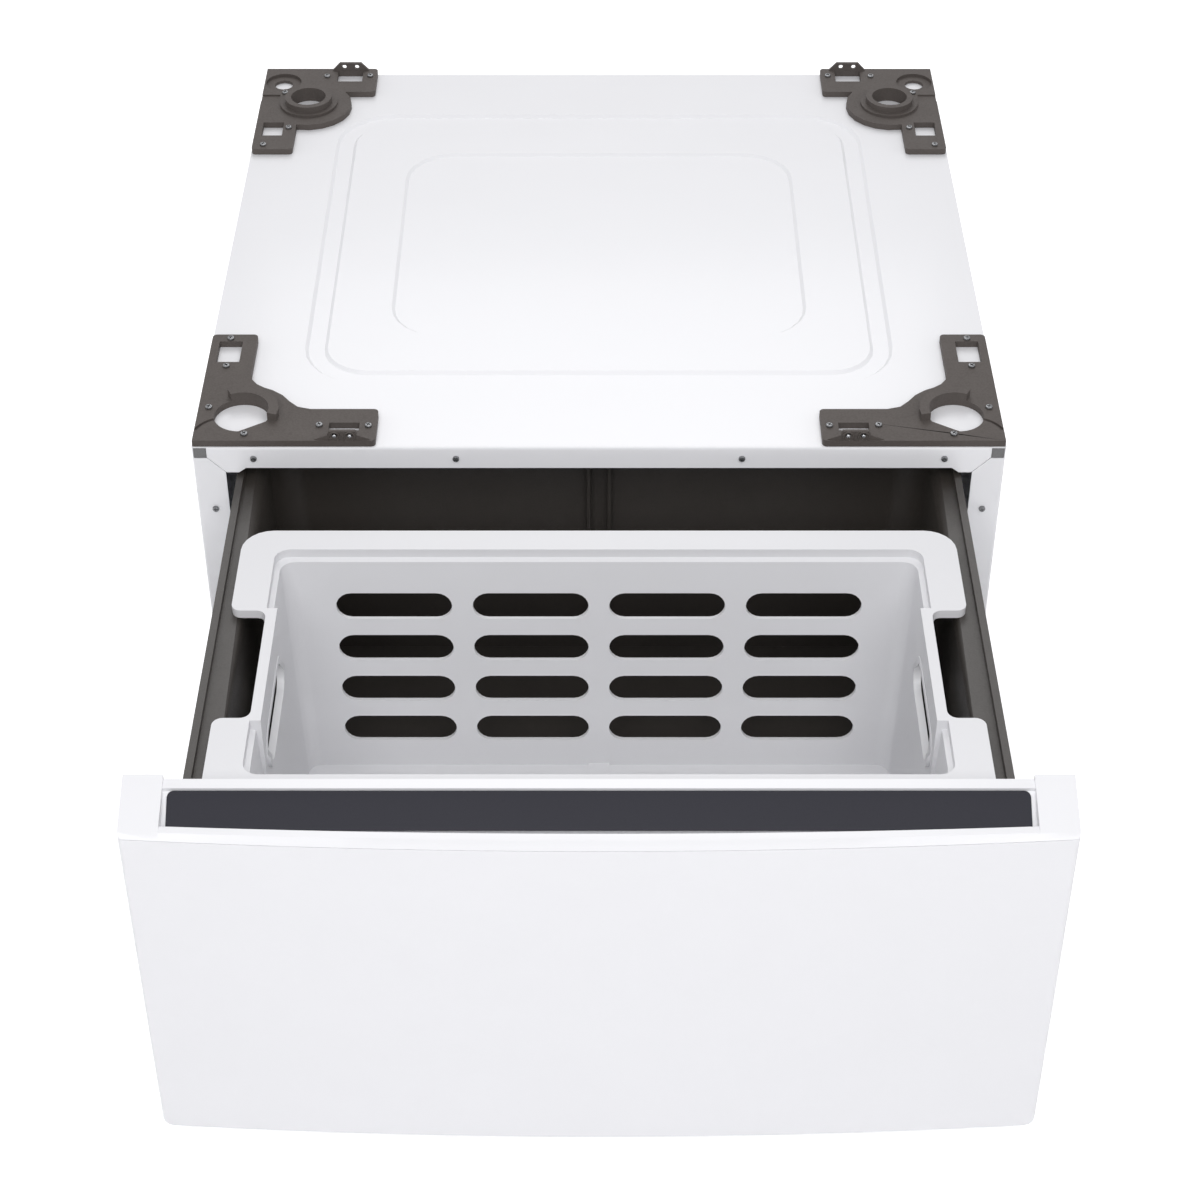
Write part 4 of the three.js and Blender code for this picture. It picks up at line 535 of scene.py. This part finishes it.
def move_corners(thing, low, high, by, way=1):
    """Moves the corners inside a box by some millimetres; way is -1 for the left side's mirror image."""
    def inside(corner):
        x, y, z = corner.co / MM
        return all(a < value < b for a, value, b in zip(low, (way * x, y, z), high))

    moved = pick(thing, "VERT", inside)
    bpy.ops.transform.translate(value=Vector((way * by[0], by[1], by[2])) * MM)
    bpy.ops.object.mode_set(mode="OBJECT")
    return moved


# %% The basket's lip and hand-holds
LIP_WIDTH = 26.0                   # the rear lip's corners lie in this strip
LIP_TRIM = 6.0
HOLD_LOW = (252.0, -398.5, 278.5)  # the upper edge of the right hand-hold lies in this box
HOLD_HIGH = (253.0, -282.5, 298.0)
HOLD_OUT = 2.6

basket = pieces["basket"]
basket_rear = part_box("basket")[1][1] / MM
lip = move_corners(basket, (-FAR, basket_rear - LIP_WIDTH, -FAR), (FAR, FAR, FAR), (0, -LIP_TRIM, 0))
holds = [move_corners(basket, HOLD_LOW, HOLD_HIGH, (HOLD_OUT, 0, 0), way) for way in SIDES.values()]
print("corners moved: lip", lip, "hand-holds", holds)

# %% The front brackets' clips
SIDE = 343.0                       # half the width of the cabinet
FRONT, REAR = -95.0, 559.0         # its front and rear edges
BRACKET_TOP = 361.3
CLIP_X = 215.8                     # middle of a front clip, from the middle of the cabinet
CLIP_FORWARD = 4.5
CLIP_FORMS = {                     # half width, nearest and furthest from the front edge, lowest
    "window": (14.5, 20.0, 32.0, -FAR),
    "plate": (25.5, 6.5, 10.5, BRACKET_TOP - 0.1),
}
for side, way in SIDES.items():
    bracket = pieces[f"{side}_front_corner_bracket"]
    for name, (half, near, far, lowest) in CLIP_FORMS.items():
        low, high = (CLIP_X - half, FRONT + near, lowest), (CLIP_X + half, FRONT + far, FAR)
        print(side, name, "corners moved:", move_corners(bracket, low, high, (0, -CLIP_FORWARD, 0), way))

# %% [markdown]
# ## The tub's shoulder
#
# The tub's ledge rolls over into its walls with a much larger radius than the other edges, so that
# laundry doesn't catch and the mould lets go. The long edge of the ledge, and the one under it that
# keeps the wall equally thick, are picked by their height and place and bevelled in edit mode. The
# other edges of the tub stay as they are for now.

# %% Rolling the shoulder over
SHOULDERS = {320.0: 9.0, 317.0: 6.0}     # height of an edge and its radius
LEDGE_SIDE = 290.0                 # the edges lie within these
LEDGE_FRONT, LEDGE_REAR = -472.0, -40.0
SHOULDER_STEPS = 5


def roll_over(thing, height, radius):
    corners = [corner.co / MM for corner in thing.data.vertices]

    def on_shoulder(edge):
        return all(
            abs(end.z - height) < 0.1 and abs(end.x) < LEDGE_SIDE and LEDGE_FRONT < end.y < LEDGE_REAR
            for end in (corners[k] for k in edge.vertices))

    picked = pick(thing, "EDGE", on_shoulder)
    bpy.ops.mesh.bevel(offset=radius * MM, segments=SHOULDER_STEPS, profile=0.5, affect="EDGES")
    bpy.ops.object.mode_set(mode="OBJECT")
    return picked


for height, radius in SHOULDERS.items():
    print("edges rolled over at", height, "mm:", roll_over(pieces["tub"], height, radius))

# %% [markdown]
# ## Rounding off
#
# With the forms in place, every copy gets its soft edges and stands for its node. This comes last,
# because a rounded edge is many corners and no longer easy to take hold of.

# %% Rounding off every edge
for node, radius in SOFT_RADII.items():
    hand_over(soften(pieces[node], radius), body_of[node], slot_of[node], node)
print("softened", len(pieces), "pieces,", sum(len(p.data.polygons) for p in pieces.values()), "faces")

# %% [markdown]
# ## Clip sockets
#
# In front of the clip on each front bracket two short sockets stand side by side, with the end of a
# plated pin in each. A socket starts as a cylinder lying on its side. Its front face is inset and
# pushed back, which leaves the wall and the well in one go, with no cutting. The pin is a cylinder
# with its front edge bevelled.

# %% Sockets
CLIP_PITCH = 12.9                  # from one socket to the other
SOCKET_HEIGHT = 3.3                # axis above the bracket's top
SOCKET_Y = FRONT + 3.2             # middle of its length
SOCKET_RADIUS, SOCKET_LENGTH = 5.0, 4.0
SOCKET_WALL = 1.1
WELL_DEPTH, WELL_MARGIN = 3.2, 0.6


def lying_cylinder(x, radius, length):
    """A cylinder along Y, in edit mode with its front face selected."""
    bpy.ops.mesh.primitive_cylinder_add(
        vertices=32, radius=radius * MM, depth=length * MM, end_fill_type="NGON",
        location=Vector((x, SOCKET_Y, BRACKET_TOP + SOCKET_HEIGHT)) * MM, rotation=(math.pi / 2, 0, 0))
    thing = settle(bpy.context.active_object)
    pick(thing, "FACE", lambda face: face.normal.y < -0.9)
    return thing


def socket(x):
    thing = lying_cylinder(x, SOCKET_RADIUS, SOCKET_LENGTH)
    bpy.ops.mesh.inset(thickness=SOCKET_WALL * MM)
    bpy.ops.mesh.extrude_region_move(TRANSFORM_OT_translate={"value": (0, WELL_DEPTH * MM, 0)})
    bpy.ops.mesh.inset(thickness=WELL_MARGIN * MM)
    bpy.ops.object.mode_set(mode="OBJECT")
    return soften(thing, 0.5)


# %% Pins
PIN_RADIUS, PIN_LENGTH, PIN_ROUND = 1.9, 2.6, 1.1


def pin(x):
    thing = lying_cylinder(x, PIN_RADIUS, PIN_LENGTH)
    bpy.ops.mesh.bevel(offset=PIN_ROUND * MM, segments=4, affect="EDGES")
    bpy.ops.object.mode_set(mode="OBJECT")
    bpy.ops.object.shade_smooth_by_angle(angle=CREASE)
    return thing


for side, way in SIDES.items():
    places = [way * CLIP_X + k * CLIP_PITCH / 2 for k in (-1, 1)]
    hand_over(joined([socket(x) for x in places], f"{side}_clip_sockets"), "cabinet", "bracket_plastic")
    hand_over(joined([pin(x) for x in places], f"{side}_clip_pins"), "cabinet", "zinc_steel")
print("clip sockets and pins made")

# %% [markdown]
# ## Screws
#
# Pan-head screws hold the brackets down and the cabinet's flanges together. A head is pressed from
# wire: a low cylinder with a domed edge and a cross driven into the top. Two thin blocks cut the
# cross. The shank is drawn out of the underside of the head, so that head and shank are one body.

# %% One screw
HEAD_HEIGHT = 1.8
HEAD_ROUND = 0.55                  # a share of the head's height
SHANK_RADIUS = 1.7
CROSS_LENGTH, CROSS_WIDTH = 1.3, 0.34    # shares of the head's radius
CROSS_TURNS = (math.pi / 4, 3 * math.pi / 4)


def cut_with(thing, size, turn):
    bpy.ops.mesh.primitive_cube_add(size=1, location=(0, 0, HEAD_HEIGHT * MM), rotation=(0, 0, turn))
    cutter = bpy.context.active_object
    cutter.scale = size
    only(thing)
    slot = thing.modifiers.new("slot", "BOOLEAN")
    slot.object, slot.operation, slot.solver = cutter, "DIFFERENCE", "EXACT"
    bpy.ops.object.modifier_apply(modifier=slot.name)
    bpy.data.objects.remove(cutter)


def pan_screw(name, radius, length):
    top = HEAD_HEIGHT * MM
    bpy.ops.mesh.primitive_cylinder_add(
        vertices=32, radius=radius * MM, depth=top, location=(0, 0, top / 2), end_fill_type="NGON")
    thing = settle(bpy.context.active_object)
    thing.name = name
    pick(thing, "FACE", lambda face: face.center.z > 0.99 * top)
    bpy.ops.mesh.bevel(offset=HEAD_ROUND * top, segments=4, profile=0.6, affect="EDGES")
    pick(thing, "FACE", lambda face: face.center.z < 0.01 * top)
    bpy.ops.mesh.inset(thickness=(radius - SHANK_RADIUS) * MM)
    bpy.ops.mesh.extrude_region_move(TRANSFORM_OT_translate={"value": (0, 0, -length * MM)})
    bpy.ops.object.mode_set(mode="OBJECT")
    for turn in CROSS_TURNS:
        cut_with(thing, (CROSS_LENGTH * radius * MM, CROSS_WIDTH * radius * MM, 1.5 * top), turn)
    only(thing)
    bpy.ops.object.shade_smooth_by_angle(angle=CREASE)
    return thing


bracket_screw = pan_screw("bracket_screw_pattern", radius=3.0, length=9.0)
flange_screw = pan_screw("flange_screw_pattern", radius=2.8, length=7.0)
print("screw faces:", len(bracket_screw.data.polygons))

# %% [markdown]
# ## Screws in their holes
#
# A bracket has a screw hole near each of its ends and corners. Places are counted in from the side of
# the deck and in from its front or rear edge, so one list serves the left and the right. The screws
# of one bracket are joined into one piece, since nobody takes out just one of them. The first of each
# list stands for the one that the CAD model has. Every screw stops at an angle of its own.

# %% Holes
SEAT_GAP = 0.3                     # between a head and what it sits on
BRACKET_HOLES = {
    "front": [(44, 10), (17.5, 154), (18, 111), (10, 48.7), (106.4, 22.7), (148, 22)],
    "rear": [(64, 18), (12, 158), (34, 124), (24, 53), (108, 17)],
}
BRACKET_EDGES = {"front": (FRONT, 1), "rear": (REAR, -1)}
FLANGE_HOLES = {                   # from the middle of the cabinet and up from the floor
    "outer_flange": (291.5, 343.7),
    "inner_flange": (120.6, 343.7),
    "side_flange": (328, 290.7),
}
LOWER_SIDE_HOLES = [(328, 175), (328, 65)]


def screw_at(pattern, place, turn, facing=0.0):
    thing = bpy.data.objects.new("screw", pattern.data.copy())
    scene.collection.objects.link(thing)
    thing.rotation_mode = "ZYX"        # the spin comes first, round the screw's own axis
    thing.rotation_euler = (facing, 0, turn)
    thing.location = Vector(place) * MM
    return settle(thing)


# %% Screws of one bracket
def bracket_screws(side, way, end):
    edge, inward = BRACKET_EDGES[end]
    heads = [
        screw_at(bracket_screw, (way * (SIDE - u), edge + inward * w, BRACKET_TOP + SEAT_GAP), 0.7 * k)
        for k, (u, w) in enumerate(BRACKET_HOLES[end])
    ]
    others = joined(heads[1:], f"{side}_{end}_more_screws")
    hand_over(others, "cabinet", "zinc_hardware")
    first = joined(heads[:1], f"{side}_{end}_screw")
    hand_over(first, "cabinet", "zinc_hardware", f"{side}_{end}_bracket_screw")


# %% Screws of the flanges on one side
def flange_head(way, x, z, turn):
    return screw_at(flange_screw, (way * x, FRONT - SEAT_GAP, z), turn, facing=math.pi / 2)


def flange_screws(side, way):
    for k, (name, (x, z)) in enumerate(FLANGE_HOLES.items()):
        head = joined([flange_head(way, x, z, 0.9 * k + way)], f"{side}_{name}_head")
        hand_over(head, "cabinet", "zinc_hardware", f"{side}_{name}_screw")
    lower = [flange_head(way, x, z, z * way) for x, z in LOWER_SIDE_HOLES]
    hand_over(joined(lower, f"{side}_lower_flange_heads"), "cabinet", "zinc_hardware")


# %% Placing them all
for side, way in SIDES.items():
    for end in BRACKET_HOLES:
        bracket_screws(side, way, end)
    flange_screws(side, way)
for pattern in (bracket_screw, flange_screw):
    bpy.data.objects.remove(pattern)
placed = [len(holes) for holes in (*BRACKET_HOLES.values(), FLANGE_HOLES, LOWER_SIDE_HOLES)]
print("screws on each side:", sum(placed))

# %% [markdown]
# ## The floor
#
# The floor is pale and fills the picture. It is matt, so that it keeps the pedestal's soft shadow,
# and what the camera and reflections see of it is lifted towards white by a glow. The glow gives no
# light to the pedestal, which a brighter lamp would.

# %% Floor
FLOOR_SIZE = 14.0
FLOOR_COLOUR = (0.86, 0.86, 0.87, 1)
FLOOR_GLOW = 0.60
WHITE = (1, 1, 1, 1)
bpy.ops.mesh.primitive_plane_add(size=FLOOR_SIZE, location=(0, 0, 0))
floor = bpy.context.active_object
floor.name = "studio_floor"
floor_paper = bpy.data.materials.new("floor_paper")
paper = Nodes(floor_paper)
matt = paper.node("ShaderNodeBsdfDiffuse", None, {"Color": FLOOR_COLOUR})["BSDF"]
glow = paper.node("ShaderNodeEmission", None, {"Color": WHITE, "Strength": paper.seen() * FLOOR_GLOW})
both = paper.node("ShaderNodeAddShader", None, {0: matt, 1: glow["Emission"]})["Shader"]
paper.node("ShaderNodeOutputMaterial", None, {"Surface": both})
floor.data.materials.append(floor_paper)
print("floor", FLOOR_SIZE, "m across")

# %% [markdown]
# ## The light
#
# The light is a big soft sheet in front and above, a smaller one behind that slides a broad sheen over
# the deck, and two faint ones beside the pedestal. Large lamps give soft shadows, as in a studio with
# white walls. A pale world all round fills the shadows. It is pure white where it is seen.

# %% Lamps
LAMPS = {                          # metres and watts
    "key": {"size": (2.2, 1.4), "power": 39.5, "place": (0, -1.9, 2.15), "aim": (0, -0.3, 0.3)},
    "rear": {"size": (1.2, 1.2), "power": 12.0, "place": (0, 1.7, 2.0), "aim": (0, 0, 0.3)},
    "right_side": {"size": (1.6, 1.0), "power": 5.0, "place": (2.6, 0, 1.1), "aim": (0, 0, 0.2)},
    "left_side": {"size": (1.6, 1.0), "power": 5.0, "place": (-2.6, 0, 1.1), "aim": (0, 0, 0.2)},
}
for name, lamp in LAMPS.items():
    light = bpy.data.lights.new(name, "AREA")
    light.shape = "RECTANGLE"
    light.size, light.size_y = lamp["size"]
    light.energy = lamp["power"]
    holder = bpy.data.objects.new(name, light)
    holder.location = lamp["place"]
    aim = Vector(lamp["aim"]) - Vector(lamp["place"])
    holder.rotation_euler = aim.to_track_quat("-Z", "Y").to_euler()
    scene.collection.objects.link(holder)
print("lamps:", ", ".join(LAMPS))

# %% World
WORLD_COLOUR = (1.0, 1.0, 1.02, 1)
WORLD_LIGHT = 0.42                 # what falls on the pedestal
WORLD_SEEN = 1.0                   # what the camera and reflections see
world = bpy.data.worlds.new("studio")
air = Nodes(world)
strength = WORLD_LIGHT + (WORLD_SEEN - WORLD_LIGHT) * air.seen()
backdrop = air.node("ShaderNodeBackground", None, {"Color": WORLD_COLOUR, "Strength": strength})
air.node("ShaderNodeOutputWorld", None, {"Surface": backdrop["Background"]})
scene.world = world
print("world:", WORLD_LIGHT, "on the pedestal,", WORLD_SEEN, "where it is seen")

# %% [markdown]
